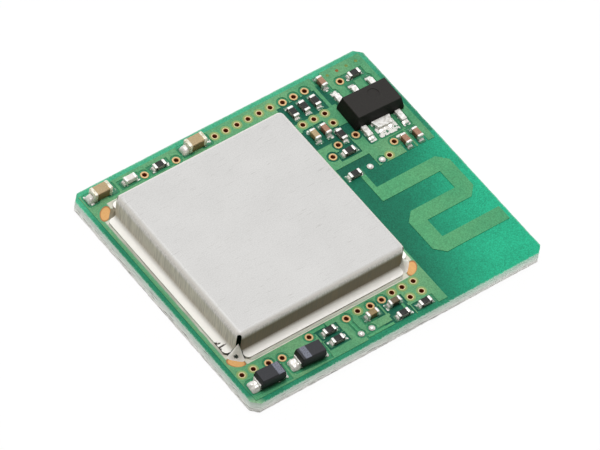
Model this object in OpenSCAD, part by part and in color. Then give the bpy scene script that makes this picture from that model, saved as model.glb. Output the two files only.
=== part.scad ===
// Bluetooth radio module: a small circuit board with a soldered shield can over the radio,
// a printed antenna at one end, and the regulator and chips that supply it.
// Millimetres. X runs along the board towards the antenna, Y across it, Z up.
// The origin is the centre of the board's underside.
// The board's outline follows from the can, the strips round it and the antenna's end.

/* [Board] */
// Thickness of the laminate
board_t = 1; // [0.6:0.1:1.6]
// Cut across each corner, measured along an edge
corner_cut = 0.55; // [0.2:0.05:1]
// Margin of the board left of the shield's land
left_margin = 0.58; // [0.52:0.02:2]
// Depth of the strip behind the shield's land
back_strip_d = 1.93; // [1.93:0.05:4]
// Depth of the strip in front of the shield's land
front_strip_d = 3.33; // [3.33:0.05:6]
// Width of the end that carries the regulator and the antenna
antenna_end_w = 8.58; // [8.58:0.1:14]
// Thickness of the copper foil with its coat
foil_t = 0.04; // [0.02:0.01:0.1]
// Margin between the copper pour and the board's edges
pour_margin = 0.42; // [0.3:0.02:0.46]
// Gap between the pour and the pads, rings and tracks that it must not touch
pour_gap = 0.15; // [0.1:0.01:0.2]
// Width of a signal track
track_w = 0.2; // [0.1:0.05:0.25]

/* [Vias] */
// Bore of a plated via
via_bore = 0.34; // [0.2:0.02:0.42]
// Wall of the plating in a via
via_wall = 0.06; // [0.03:0.01:0.08]
// Width of the ring round a via's bore
via_ring = 0.16; // [0.1:0.01:0.18]
// Pitch of the vias in a row
via_pitch = 1; // [0.9:0.05:1.2]
// Distance of the back row of vias from the board's edge
via_row_inset = 1.1; // [1.05:0.01:1.4]
// Distance of the back row's last via from the end of the shield's land
via_row_end = 0.38; // [0.1:0.02:0.7]
// Diameter of a dimple over a coated via
dimple_d = 0.26; // [0.15:0.01:0.35]
// Pitch of the dimples
dimple_pitch = 0.87; // [0.7:0.01:1]

/* [Underside lands] */
// Length of a land, across the board's edge
land_l = 0.62; // [0.4:0.02:0.64]
// Width of a land, along the board's edge
land_w = 0.7; // [0.4:0.05:0.8]
// Pitch of the lands
land_pitch = 1.25; // [1.1:0.05:2]
// Margin between the lands and the board's edge
land_margin = 0.1; // [0.05:0.01:0.12]

/* [Antenna] */
// Width of an arm of the meander
arm_w = 1.28; // [0.8:0.02:1.6]
// Distance between the middles of two arms
arm_pitch = 3.06; // [2.4:0.02:3.3]
// Cut across the meander's outer corners
arm_cut = 0.75; // [0.3:0.05:1]
// Width of the feed track
feed_w = 0.4; // [0.2:0.05:0.6]
// Length of the feed track, from its chip's pad to the first arm
feed_l = 1.4; // [1:0.05:2]
// Gap between the meander and the board's right edge
arm_margin = 0.75; // [0.4:0.05:1]

/* [Shield can] */
// Length of the can along the board
can_w = 14.9; // [12.4:0.1:20]
// Depth of the can across the board
can_d = 15; // [12.4:0.1:20]
// Height of the can above its land
can_h = 2.2; // [1.8:0.05:3]
// Thickness of the sheet
sheet_t = 0.2; // [0.1:0.01:0.25]
// Outer radius of the bend between the top and the walls
can_bend = 0.46; // [0.3:0.02:0.7]
// Radius of the bend between a wall and its flange
foot_bend = 0.28; // [0.15:0.01:0.4]
// Width of the flange, measured from the wall
flange_w = 0.7; // [0.5:0.05:0.9]
// Distance from a flange's end to the can's corner
flange_inset = 0.42; // [0.3:0.02:0.8]
// Rounding of a flange's outer corners
flange_round = 0.36; // [0.1:0.02:0.45]
// Width of the slit in each corner of the can
slit_w = 0.34; // [0.2:0.02:0.44]
// Height of the closed corner above a slit
slit_cap = 0.14; // [0.1:0.02:0.6]
// Land that shows outside the flange
land_lip = 0.28; // [0.1:0.02:0.3]
// Land that reaches inside the walls
land_inside = 0.3; // [0.2:0.05:0.5]
// Rounding of the land's corners
land_round = 1; // [0.8:0.05:1.1]
// Height of the solder bead against a flange's edge
bead_h = 0.12; // [0.04:0.01:0.15]
// Height of the solder pooled in a corner of the flange
pool_h = 1.1; // [0.6:0.05:1.3]
// Radius of the solder pooled in a corner of the flange
pool_r = 0.64; // [0.4:0.02:0.7]

/* [Chips] */
// Length of a small chip
small_l = 1; // [0.8:0.05:1.1]
// Width of a small chip
small_w = 0.5; // [0.4:0.02:0.55]
// Height of a small capacitor
small_cap_h = 0.5; // [0.3:0.02:0.6]
// Height of a resistor
resistor_h = 0.36; // [0.25:0.01:0.45]
// Plated length at each end of a small chip
small_band = 0.24; // [0.15:0.01:0.3]
// Length of a large capacitor
large_l = 1.6; // [1.4:0.05:1.7]
// Width of a large capacitor
large_w = 0.85; // [0.7:0.05:0.95]
// Height of a large capacitor
large_h = 0.82; // [0.5:0.02:1]
// Plated length at each end of a large capacitor
large_band = 0.32; // [0.2:0.02:0.4]
// Thickness of the plating on a chip's ends
plate_t = 0.02; // [0.01:0.005:0.03]
// Rounding of a chip's long edges
chip_round = 0.05; // [0.03:0.01:0.08]
// Thickness of the dark coat on a resistor
coat_t = 0.03; // [0.02:0.005:0.05]
// Pad that shows beyond a small chip's end
small_reach = 0.28; // [0.2:0.02:0.3]
// Pad that shows beyond a large chip's end
large_reach = 0.45; // [0.3:0.05:0.5]
// Pad that shows beside a chip
pad_side = 0.05; // [0.02:0.01:0.06]
// Rounding of a pad's corners
pad_round = 0.1; // [0.05:0.01:0.15]
// Height of a solder fillet, as a part of its chip's height
fillet_rise = 0.75; // [0.4:0.05:0.95]
// Hollow of a solder fillet, as a part of its slope
fillet_hollow = 0.16; // [0.05:0.01:0.2]
// Diameter of an empty pad
empty_d = 0.5; // [0.4:0.02:0.6]
// Height of the solder on an empty pad
empty_h = 0.12; // [0.05:0.01:0.2]

/* [Regulator] */
// Length of the moulded body
reg_l = 4.3; // [4:0.05:4.6]
// Width of the moulded body
reg_w = 2.45; // [2.2:0.05:2.6]
// Height of the moulded body
reg_h = 1.25; // [1:0.05:1.6]
// Draft at the ends of the body, from base to top
reg_end_draft = 0.25; // [0.05:0.01:0.35]
// Draft at the long sides of the body, from base to top
reg_side_draft = 0.14; // [0.05:0.01:0.25]
// Thickness of the leads and the tab
lead_t = 0.26; // [0.2:0.02:0.45]
// Width of a lead
lead_w = 0.46; // [0.3:0.02:0.55]
// Pitch of the leads
lead_pitch = 1.5; // [1.3:0.05:1.6]
// Length of a lead outside the body
lead_l = 1; // [0.7:0.05:1.1]
// Pad that shows beyond a lead
lead_reach = 0.45; // [0.3:0.05:0.5]
// Width of the tab at the body
tab_root_w = 1.65; // [1.4:0.05:1.75]
// Width of the tab at its end
tab_end_w = 1.2; // [0.9:0.05:1.4]
// Length of the tab outside the body
tab_l = 0.75; // [0.5:0.05:0.9]
// Diameter of the moulding mark on the top
mark_d = 0.9; // [0.4:0.05:1]
// Depth of the moulding mark
mark_t = 0.04; // [0.02:0.01:0.08]

/* [Tantalum capacitors] */
// Length of the moulded body
tan_l = 2.05; // [1.8:0.05:2.2]
// Width of the moulded body
tan_w = 1.2; // [1:0.05:1.35]
// Height of the body above its pads
tan_h = 1.05; // [0.8:0.05:1.2]
// Draft of the body's sides, from the parting line to the top
tan_draft = 0.07; // [0.03:0.01:0.12]
// Thickness of a terminal's strip
strip_t = 0.1; // [0.05:0.01:0.15]
// Width of a terminal's strip
strip_w = 0.9; // [0.6:0.05:1]
// Length of a terminal's foot under the body
foot_l = 0.5; // [0.3:0.05:0.7]
// Pad that shows beyond a terminal
tan_reach = 0.4; // [0.3:0.02:0.45]
// Distance by which a tantalum capacitor sits off the middle of its pads
tan_slip = 0.16; // [0:0.02:0.2]

/* [Radio under the can] */
// Side of the square radio chip
radio_side = 6; // [5:0.1:6.5]
// Height of the radio chip's body
radio_h = 0.75; // [0.5:0.05:1]
// Solder balls along each side of the radio chip
ball_count = 7; // [5:1:8]
// Pitch of the solder balls
ball_pitch = 0.8; // [0.5:0.05:0.8]
// Diameter of a solder ball where it is soldered
ball_d = 0.35; // [0.25:0.05:0.4]
// Height of a solder ball
ball_h = 0.25; // [0.2:0.05:0.35]
// Length of the memory chip along the board
flash_l = 4; // [3.5:0.1:4.2]
// Width of the memory chip
flash_w = 5; // [4:0.1:6]
// Height of the memory chip
flash_h = 0.8; // [0.5:0.05:1]
// Length of the crystal
crystal_l = 3.2; // [2:0.1:3.2]
// Width of the crystal
crystal_w = 2.5; // [1.6:0.1:2.5]
// Height of the crystal
crystal_h = 0.7; // [0.5:0.05:0.9]
// Height of the crystal's lid
lid_h = 0.14; // [0.1:0.01:0.2]
// Rim of the crystal's tub round the lid
lid_rim = 0.2; // [0.1:0.05:0.3]
// Length of the band filter
filter_l = 2; // [1.6:0.1:2.5]
// Width of the band filter
filter_w = 1.25; // [0.8:0.05:1.4]
// Height of the band filter
filter_h = 0.9; // [0.6:0.05:1]
// Length of the balun
balun_l = 1.6; // [1:0.1:2]
// Width of the balun
balun_w = 0.8; // [0.5:0.05:1.2]
// Height of the balun
balun_h = 0.6; // [0.4:0.05:0.9]
// Gap between the chips under the can
inner_gap = 0.6; // [0.3:0.05:0.8]

/* [Hidden] */
$fn = 48;

// A small overlap that keeps a cut from ending in the face that it cuts
eps = 0.01;

// Levels: the laminate's top, and the top of the foil, where chips and can are seated
top_z = board_t;
seat_z = board_t + foil_t;

// Land and board outlines, from the can outwards
land_out = flange_w + land_lip;
land_size = [can_w + 2 * land_out, can_d + 2 * land_out];
board_w = left_margin + land_size.x + antenna_end_w;
board_d = front_strip_d + land_size.y + back_strip_d;
land_right = -board_w / 2 + left_margin + land_size.x;
land_back = board_d / 2 - back_strip_d;
land_front = land_back - land_size.y;
can_at = [land_right - land_size.x / 2, land_back - land_size.y / 2];

// Datum points that the parts are placed from
back_left = [-board_w / 2, board_d / 2];
back_right = [land_right, board_d / 2];
front_left = [-board_w / 2, -board_d / 2];

// Places [x, y, turn] from offsets measured from one datum point
function placed(datum, offsets) =
    [for (o = offsets) [datum.x + o[0], datum.y + o[1], len(o) > 2 ? o[2] : 0]];

// Small ceramic capacitors
small_caps = concat(
    placed(back_right, [
        [0.73, -5.05, 90], [1.68, -5.05, 90], [4.1, -1.35, 90], [6.08, -8.9, 90], [7.14, -8.88, 90]]),
    placed(front_left, [[11.84, 2], [13.82, 2]]));

// Large ceramic capacitors
large_caps = placed(back_left, [[1.9, -1.05], [10.3, -1.05]]);

// Chip resistors: three side by side, then one by one
trio_x = [for (i = [0:2]) 0.68 + i * via_pitch];
resistors = concat(
    placed(back_right, [for (x = trio_x) [x, -2.45, 90]]),
    placed(back_right, [[2.42, -6, 90], [1.98, -7.5], [1.04, -9.44], [6.66, -1.9]]),
    placed(back_left, [[7, -1.22]]),
    placed(front_left, [[8.4, 2.49], [8.43, 1.54], [13.78, 0.87], [15.73, 0.85]]));
feed_chip = resistors[5];

// Pale chip inductor
inductor_at = placed(back_left, [[4.42, -1.15]])[0];

// Regulator and tantalum capacitors, which sit a little askew on their pads
regulator_at = placed(back_right, [[5.77, -5.06, -2]])[0];
tantalums = placed(front_left, [[2.28, 1.38, 177], [5.83, 1.37, 176]]);

// Moulding mark on the regulator, from the body's middle
mark_at = [0.32, 0.28];

// Empty pads
empty_pads = concat(
    placed(back_right, [[2.51, -9.37], [3.65, -9.32]]),
    placed(front_left, [[10.23, 1.13], [11.18, 1.13]]));

// Vias that join the pour: a row that fills the back strip, one before each of the three resistors,
// then one by one
ring_d = via_bore + 2 * via_ring;
row_end = land_right - via_row_end;
row_room = row_end - large_caps[1].x - large_l / 2 - large_reach - pour_gap - ring_d / 2;
ground_vias = concat(
    [for (i = [0:floor(row_room / via_pitch)])
        [row_end - i * via_pitch, board_d / 2 - via_row_inset, 0]],
    placed(back_right, [for (x = trio_x) [x, -3.67]]),
    placed(back_right, [[2.68, -4.7], [4.35, -9.28]]),
    placed(front_left, [[0.9, 2.76], [1.9, 2.76], [11.23, 2.88], [14.29, 2.88],
        [15.21, 2.88], [16.22, 2.88], [15.18, 1.86], [16.19, 1.86]]));

// Vias that carry signals: one behind each of the three resistors, then one by one
signal_vias = concat(
    placed(back_right, [for (x = trio_x) [x, -1.2]]),
    placed(back_right, [[1.74, -6.54], [0.75, -7.22], [5.4, -8.45], [3.4, -6.46], [5.44, -1.86]]),
    placed(back_left, [[5.66, -1.26], [8.39, -1.39]]),
    placed(front_left, [[3.12, 2.6], [4.2, 2.44], [6.91, 2.88], [10.14, 2.77], [12.27, 2.76],
        [13.29, 2.76]]));
vias = concat(ground_vias, signal_vias);

// Small coated vias behind the regulator, which show as dimples
dimples = placed(back_right, [for (i = [0:3]) [4.98 + i * dimple_pitch, -0.92]]);

// Signal tracks, each with its two ends
tracks = [
    placed(front_left, [[10.14, 2.77], [10.23, 1.13]]),
    placed(front_left, [[7.21, 3.1], [8.41, 3.1]]),
    placed(front_left, [[10.53, 0.65], [12.83, 0.65]]),
    placed(front_left, [[14.32, 2], [14.3, 0.87]])];

// The pour ends at the front edge of the antenna's feed chip, with a field cleared round its pads
pour_front = feed_chip.y - small_w / 2;
match_field = [3.04, 1.35];
match_at = [land_right + 0.13, pour_front - eps];

// Fields that the pour leaves clear between chips: a place for each, and its size
fields = concat(
    placed(back_right, [[1.58, -2.46], [1.03, -5.21], [3.17, -5.7], [2.17, -7.21], [3.82, -2.31]]),
    placed(front_left, [[8.41, 2.01], [13.81, 1.46]]));
field_sizes = [[3.42, 1.9], [2.32, 1.9], [0.9, 0.95], [1.4, 0.9], [0.5, 2.1], [1.4, 0.8], [1.6, 0.5]];

// Meander: its feed leaves the pad of the feed chip
feed_x = feed_chip.x + small_l / 2 + (small_reach - small_band) / 2;
arm_left = feed_x + feed_w / 2;
arm_right = board_w / 2 - arm_margin;
arm_top = feed_chip.y - small_w / 2 - pad_side - feed_l;

// Seats of the chips under the can: three rows about the can's middle, the radio in the middle row
radio_at = can_at + [-(flash_l + inner_gap) / 2, (crystal_w - small_w) / 2];
flash_at = radio_at + [(radio_side + flash_l) / 2 + inner_gap, 0];
crystal_at = radio_at + [(crystal_l - radio_side) / 2, -(radio_side + crystal_w) / 2 - inner_gap];
filter_at = crystal_at + [(crystal_l + filter_l) / 2 + inner_gap, 0];
balun_at = filter_at + [(filter_l + balun_l) / 2 + inner_gap, 0];
inner_cap_pitch = small_l + inner_gap / 2;
inner_cap_count = floor((radio_side + inner_gap + flash_l) / inner_cap_pitch);
inner_caps = [for (i = [0:inner_cap_count - 1])
    [radio_at.x - radio_side / 2 + small_l / 2 + i * inner_cap_pitch,
     radio_at.y + (radio_side + small_w) / 2 + inner_gap, 0]];

// Lands on the underside, as many as the edge has room for
land_count = floor((board_w - 2 * corner_cut - land_w - 2 * land_margin) / land_pitch) + 1;

CAPACITORS = [for (i = [1:len(large_caps) + len(small_caps)]) str("capacitor_", i)];
RESISTORS = [for (i = [1:len(resistors)]) str("resistor_", i)];
TANTALUMS = [for (i = [1:len(tantalums)]) str("tantalum_", i)];

// Put a shape at one place, turned as the place says
module at(place, z = 0) {
    translate([place.x, place.y, z])
        rotate(place[2])
            children();
}

// Put a shape at every place of a list
module at_each(places, z = 0) {
    for (p = places)
        at(p, z)
            children();
}

// Rectangle with round corners, about its middle
module rounded(w, d, r) {
    difference() {
        square([w, d], center = true);
        for (x = [-1, 1], y = [-1, 1])
            translate([x * (w / 2 - r), y * (d / 2 - r)])
                difference() {
                    translate([x > 0 ? 0 : -r - eps, y > 0 ? 0 : -r - eps])
                        square(r + eps);
                    circle(r);
                }
    }
}

// A profile carried along X, with its width across Y and its height up Z
module along_x(length) {
    rotate([90, 0, 90])
        linear_extrude(length, center = true)
            children();
}

// Copper seen from above

module land_outline() {
    translate(can_at)
        rounded(land_size.x, land_size.y, land_round);
}

module via_rings() {
    at_each(vias)
        circle(d = ring_d);
}

// The two pads of a chip, grown by a gap
module chip_pads(l, w, band, reach, grow = 0) {
    for (x = [-1, 1])
        translate([x * (l / 2 + (reach - band) / 2), 0])
            rounded(band + reach + 2 * grow, w + 2 * pad_side + 2 * grow, pad_round + grow);
}

// The pads of the regulator: three behind, two in front, and the tab's
module regulator_pads(grow = 0) {
    for (x = [-1, 0, 1], y = [-1, 1])
        translate([x * lead_pitch, y * (reg_w / 2 + (lead_l + lead_reach) / 2)])
            rounded((x == 0 && y < 0 ? tab_root_w : lead_w) + 2 * pad_side + 2 * grow,
                    lead_l + lead_reach + 2 * grow, pad_round + grow);
}

module pads(grow = 0) {
    at_each(concat(small_caps, resistors, [inductor_at]))
        chip_pads(small_l, small_w, small_band, small_reach, grow);
    at_each(large_caps)
        chip_pads(large_l, large_w, large_band, large_reach, grow);
    at_each(tantalums)
        translate([tan_slip, 0])
            chip_pads(tan_l + 2 * strip_t, strip_w, foot_l, tan_reach, grow);
    at(regulator_at)
        regulator_pads(grow);
    at_each(empty_pads)
        circle(d = empty_d + 2 * grow);
}

// The clearings round the chips: one rectangle for each, bodies included, and the fields between them
module chip_fields() {
    at_each(concat(small_caps, resistors, [inductor_at]))
        square([small_l + 2 * small_reach, small_w + 2 * pad_side] + 2 * pour_gap * [1, 1],
               center = true);
    at_each(tantalums)
        square([tan_l + 2 * tan_reach, tan_w] + 2 * pour_gap * [1, 1], center = true);
    for (i = [0:len(fields) - 1])
        at(fields[i])
            square(field_sizes[i], center = true);
}

module track_lines(grow = 0) {
    for (t = tracks) {
        run = t[1] - t[0];
        translate([t[0].x, t[0].y])
            rotate(atan2(run.y, run.x))
                translate([-grow, -track_w / 2 - grow])
                    square([norm([run.x, run.y]) + 2 * grow, track_w + 2 * grow]);
    }
}

// Board and copper

module board_outline() {
    c = corner_cut;
    x = board_w / 2;
    y = board_d / 2;
    polygon([[-x + c, -y], [x - c, -y], [x, -y + c], [x, y - c],
             [x - c, y], [-x + c, y], [-x, y - c], [-x, -y + c]]);
}

// Two rows of lands, along the front edge and the back edge
module land_rows() {
    for (i = [0:land_count - 1], side = [-1, 1])
        translate([(i - (land_count - 1) / 2) * land_pitch,
                   side * (board_d / 2 - land_margin - land_l / 2)])
            square([land_w, land_l], center = true);
}

module board() {
    color("seagreen")
        difference() {
            linear_extrude(board_t)
                difference() {
                    board_outline();
                    at_each(vias)
                        circle(d = via_bore + 2 * via_wall);
                }
            translate([0, 0, -eps])
                linear_extrude(foil_t + eps) {
                    land_rows();
                    via_rings();
                }
        }
}

// Lands on the underside, flush with the coat
module underside_lands() {
    color("gold")
        linear_extrude(foil_t)
            land_rows();
}

// Ground copper over the whole top but for the antenna's end, with everything else cleared
module copper_pour() {
    m = pour_margin;
    color("mediumseagreen")
        translate([0, 0, top_z])
            linear_extrude(foil_t)
                difference() {
                    polygon([[-board_w / 2 + m, -board_d / 2 + m], [land_right, -board_d / 2 + m],
                             [land_right, pour_front], [board_w / 2 - m, pour_front],
                             [board_w / 2 - m, board_d / 2 - m], [-board_w / 2 + m, board_d / 2 - m]]);
                    land_outline();
                    pads(pour_gap);
                    chip_fields();
                    track_lines(pour_gap);
                    translate(match_at)
                        square(match_field);
                    at_each(ground_vias)
                        circle(d = ring_d);
                    at_each(signal_vias)
                        circle(d = ring_d + 2 * pour_gap);
                    at_each(dimples)
                        circle(d = dimple_d);
                }
}

// The meander: feed, first arm, turn, second arm, turn, third arm, with cut outer corners
module antenna_trace() {
    a = arm_w;
    p = arm_pitch;
    c = arm_cut;
    l = arm_left;
    r = arm_right;
    t = arm_top;
    f = feed_x - feed_w / 2;
    color("mediumseagreen")
        translate([0, 0, top_z])
            linear_extrude(foil_t)
                polygon([
                    [f, t + feed_l], [f + feed_w, t + feed_l], [f + feed_w, t], [r - c, t], [r, t - c],
                    [r, t - p - a + c], [r - c, t - p - a], [l + a, t - p - a], [l + a, t - 2 * p],
                    [r + c / 2, t - 2 * p], [r + c / 2, t - 2 * p - a], [l + c, t - 2 * p - a],
                    [l, t - 2 * p - a + c], [l, t - p - c], [l + c, t - p], [r - a, t - p],
                    [r - a, t - a], [f, t - a]]);
}

module signal_tracks() {
    color("mediumseagreen")
        translate([0, 0, top_z])
            linear_extrude(foil_t)
                difference() {
                    track_lines();
                    pads();
                    via_rings();
                }
}

module shield_land() {
    color("goldenrod")
        translate([0, 0, top_z])
            linear_extrude(foil_t)
                difference() {
                    land_outline();
                    translate(can_at)
                        square([can_w, can_d] - 2 * (sheet_t + land_inside) * [1, 1], center = true);
                }
}

// Plated barrel with a ring on both faces of the board
module via_barrels() {
    color("darkgoldenrod")
        at_each(vias)
            difference() {
                union() {
                    cylinder(h = seat_z, d = via_bore + 2 * via_wall);
                    for (z = [0, top_z])
                        translate([0, 0, z])
                            cylinder(h = foil_t, d = ring_d);
                }
                translate([0, 0, -eps])
                    cylinder(h = seat_z + 2 * eps, d = via_bore);
            }
}

module component_pads() {
    color("gainsboro")
        translate([0, 0, top_z])
            linear_extrude(foil_t)
                pads();
}

// Shield can, folded from one sheet

// Half section of the bend and the wall: outward along X from the wall's face, up along Y
module wall_section() {
    translate([-can_bend, can_h - can_bend])
        intersection() {
            difference() {
                circle(can_bend);
                circle(can_bend - sheet_t);
            }
            square(can_bend);
        }
    translate([-sheet_t, sheet_t + foot_bend])
        square([sheet_t, can_h - can_bend - sheet_t - foot_bend]);
}

// Section of the bend at the foot and the flange
module foot_section() {
    translate([foot_bend, sheet_t + foot_bend])
        intersection() {
            difference() {
                circle(foot_bend + sheet_t);
                circle(foot_bend);
            }
            translate([-foot_bend - sheet_t, -foot_bend - sheet_t])
                square(foot_bend + sheet_t);
        }
    translate([foot_bend, 0])
        square([flange_w - foot_bend, sheet_t]);
}

// Plan of one flange, outward along X: only its outer corners reach past the wall
module flange_plan(length) {
    translate([-flange_round, 0])
        rounded(2 * (flange_w + flange_round), length, flange_round);
}

// A section carried along a side, outward along X and upright
module along_side(length) {
    rotate([90, 0, 0])
        linear_extrude(length, center = true)
            children();
}

// The four sides in turn: the wall's face is at X = 0, and the child can read how long the side is
module each_side() {
    for (i = [0:3]) {
        $side = i % 2 == 0 ? can_d : can_w;
        rotate(90 * i)
            translate([(i % 2 == 0 ? can_w : can_d) / 2, 0])
                children();
    }
}

// The four corners in turn, with the corner's outer faces at X = 0 and Y = 0
module each_corner() {
    for (i = [0:3])
        rotate(90 * i)
            translate([i % 2 == 0 ? can_w : can_d, i % 2 == 0 ? can_d : can_w] / 2)
                children();
}

// Slit that leaves the corner closed at the top and has a round end
module corner_slit() {
    rotate(45)
        translate([-sqrt(2) * can_bend, 0]) {
            translate([0, -slit_w / 2, -eps])
                cube([2 * can_bend, slit_w, can_h - slit_cap - slit_w / 2 + eps]);
            translate([0, 0, can_h - slit_cap - slit_w / 2])
                rotate([0, 90, 0])
                    cylinder(h = 2 * can_bend, d = slit_w);
        }
}

module shield_can() {
    color("lightgray")
        translate([can_at.x, can_at.y, seat_z])
            difference() {
                union() {
                    translate([0, 0, can_h - sheet_t / 2])
                        cube([can_w - 2 * can_bend, can_d - 2 * can_bend, sheet_t], center = true);
                    each_side() {
                        along_side($side - 2 * can_bend)
                            wall_section();
                        intersection() {
                            along_side($side - 2 * flange_inset)
                                foot_section();
                            linear_extrude(can_h)
                                flange_plan($side - 2 * flange_inset);
                        }
                    }
                    each_corner()
                        translate([-can_bend, -can_bend])
                            rotate_extrude(angle = 90)
                                translate([can_bend, 0])
                                    wall_section();
                }
                each_corner()
                    corner_slit();
            }
}

// Solder drawn along the flanges, and in each corner up into the slit in a hollow slope
module shield_solder() {
    pool_core = slit_w / 3;
    color("silver")
        translate([can_at.x, can_at.y, seat_z]) {
            each_side()
                along_side($side - 2 * flange_inset - 2 * flange_round)
                    translate([flange_w, 0])
                        polygon([[0, 0], [land_lip, 0], [0, bead_h]]);
            difference() {
                each_corner()
                    translate((sqrt(1 / 2) - 1) * can_bend * [1, 1])
                        rotate_extrude() {
                            square([pool_core, pool_h]);
                            translate([pool_core, 0])
                                fillet_section(pool_r - pool_core, pool_h);
                        }
                translate([0, 0, -eps])
                    linear_extrude(can_h)
                        rounded(can_w, can_d, can_bend);
                each_side()
                    translate([-sheet_t, -$side / 2 + flange_inset, -eps])
                        cube([flange_w + sheet_t, $side - 2 * flange_inset, can_h]);
            }
        }
}

// Chips

module cap_body(l, w, h) {
    translate([0, 0, h / 2])
        along_x(l - 2 * plate_t)
            rounded(w - 2 * plate_t, h - 2 * plate_t, chip_round);
}

// Plated ends that wrap five faces of a capacitor
module cap_ends(l, w, h, band) {
    difference() {
        for (x = [-1, 1])
            translate([x * (l - band) / 2, 0, h / 2])
                along_x(band)
                    rounded(w, h, chip_round + plate_t);
        cap_body(l, w, h);
    }
}

// Ceramic slab with a dark coat between the ends
module resistor_body() {
    slab_h = resistor_h - 2 * plate_t;
    translate([0, 0, plate_t + slab_h / 2])
        cube([small_l - 2 * plate_t, small_w, slab_h], center = true);
    translate([0, 0, resistor_h - plate_t + coat_t / 2])
        cube([small_l - 2 * small_band, small_w - 2 * plate_t, coat_t], center = true);
}

// Plated ends that wrap the end, the top and the underside of a resistor
module resistor_ends() {
    difference() {
        for (x = [-1, 1])
            translate([x * (small_l - small_band) / 2, 0, resistor_h / 2])
                cube([small_band, small_w, resistor_h], center = true);
        resistor_body();
    }
}

module large_capacitor(place) {
    color("tan")
        at(place, seat_z)
            cap_body(large_l, large_w, large_h);
}

module small_capacitor(place) {
    color("rosybrown")
        at(place, seat_z)
            cap_body(small_l, small_w, small_cap_h);
}

module capacitor_terminals() {
    color("whitesmoke") {
        at_each(large_caps, seat_z)
            cap_ends(large_l, large_w, large_h, large_band);
        at_each(small_caps, seat_z)
            cap_ends(small_l, small_w, small_cap_h, small_band);
    }
}

module resistor(place) {
    color("dimgray")
        at(place, seat_z)
            resistor_body();
}

module resistor_terminals() {
    color("whitesmoke")
        at_each(resistors, seat_z)
            resistor_ends();
}

module inductor() {
    color("ghostwhite")
        at(inductor_at, seat_z)
            cap_body(small_l, small_w, small_w);
}

module inductor_terminals() {
    color("whitesmoke")
        at(inductor_at, seat_z)
            cap_ends(small_l, small_w, small_w, small_band);
}

// Regulator

// A block that narrows towards its top: two tapered profiles crossed
module drafted_block(l, w, h, end_draft, side_draft) {
    intersection() {
        rotate([90, 0, 0])
            linear_extrude(w, center = true)
                polygon([[-l / 2, 0], [l / 2, 0], [l / 2 - end_draft, h], [-l / 2 + end_draft, h]]);
        rotate([90, 0, 90])
            linear_extrude(l, center = true)
                polygon([[-w / 2, 0], [w / 2, 0], [w / 2 - side_draft, h], [-w / 2 + side_draft, h]]);
    }
}

module regulator_body() {
    color("darkslategray")
        at(regulator_at, seat_z)
            difference() {
                union() {
                    translate([0, 0, lead_t / 2])
                        cube([reg_l, reg_w, lead_t], center = true);
                    translate([0, 0, lead_t])
                        drafted_block(reg_l, reg_w, reg_h - lead_t, reg_end_draft, reg_side_draft);
                }
                translate([mark_at.x, mark_at.y, reg_h - mark_t])
                    cylinder(h = mark_t + eps, d = mark_d);
            }
}

// Wide tab in front, narrowing to its end
module regulator_tab() {
    color("silver")
        at(regulator_at, seat_z)
            translate([0, -reg_w / 2])
                linear_extrude(lead_t)
                    polygon([[-tab_root_w / 2, 0], [-tab_end_w / 2, -tab_l], [tab_end_w / 2, -tab_l],
                             [tab_root_w / 2, 0]]);
}

// Three leads behind the body and one at each side of the tab
module regulator_leads() {
    color("silver")
        at(regulator_at, seat_z)
            for (x = [-1, 0, 1], y = [-1, 1])
                if (!(x == 0 && y < 0))
                    translate([x * lead_pitch, y * (reg_w + lead_l) / 2, lead_t / 2])
                        cube([lead_w, lead_l, lead_t], center = true);
}

// Tantalum capacitors

// Moulded body, widest at its parting line and drafted above and below it
module tantalum(place) {
    half_h = (tan_h - strip_t) / 2;
    color("dimgray")
        at(place, seat_z + strip_t + half_h)
            for (up = [0, 1])
                mirror([0, 0, up])
                    drafted_block(tan_l, tan_w, half_h, tan_draft, tan_draft);
}

// Strips that leave the body's ends at half height, turn down and fold under it
module tantalum_terminals() {
    rise = strip_t + (tan_h - strip_t) / 2;
    color("silver")
        at_each(tantalums, seat_z)
            for (side = [0, 180])
                rotate(side)
                    translate([tan_l / 2, 0])
                        rotate([90, 0, 0])
                            linear_extrude(strip_w, center = true)
                                polygon([[-foot_l, 0], [strip_t, 0], [strip_t, rise], [0, rise],
                                         [0, strip_t], [-foot_l, strip_t]]);
}

// Solder

// Section of a hollow fillet, outward along X and up along Y: a round cut in a slope
module fillet_section(reach, rise) {
    slope = norm([reach, rise]);
    sag = slope * fillet_hollow;
    r = (slope * slope / 4 + sag * sag) / (2 * sag);
    difference() {
        polygon([[0, 0], [reach, 0], [0, rise]]);
        translate([reach, rise] / 2 + [rise, reach] / slope * (r - sag))
            circle(r);
    }
}

// Fillet that runs from an end face down to its pad, outward along X
module fillet(reach, rise, w) {
    rotate([90, 0, 0])
        linear_extrude(w, center = true)
            fillet_section(reach, rise);
}

module end_fillets(l, w, h, reach) {
    for (side = [0, 180])
        rotate(side)
            translate([l / 2, 0])
                fillet(reach, h * fillet_rise, w);
}

// Low dome of solder
module dome(d, h) {
    r = (d * d / 4 + h * h) / (2 * h);
    intersection() {
        translate([0, 0, h - r])
            sphere(r);
        cylinder(h = h, d = d);
    }
}

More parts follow.
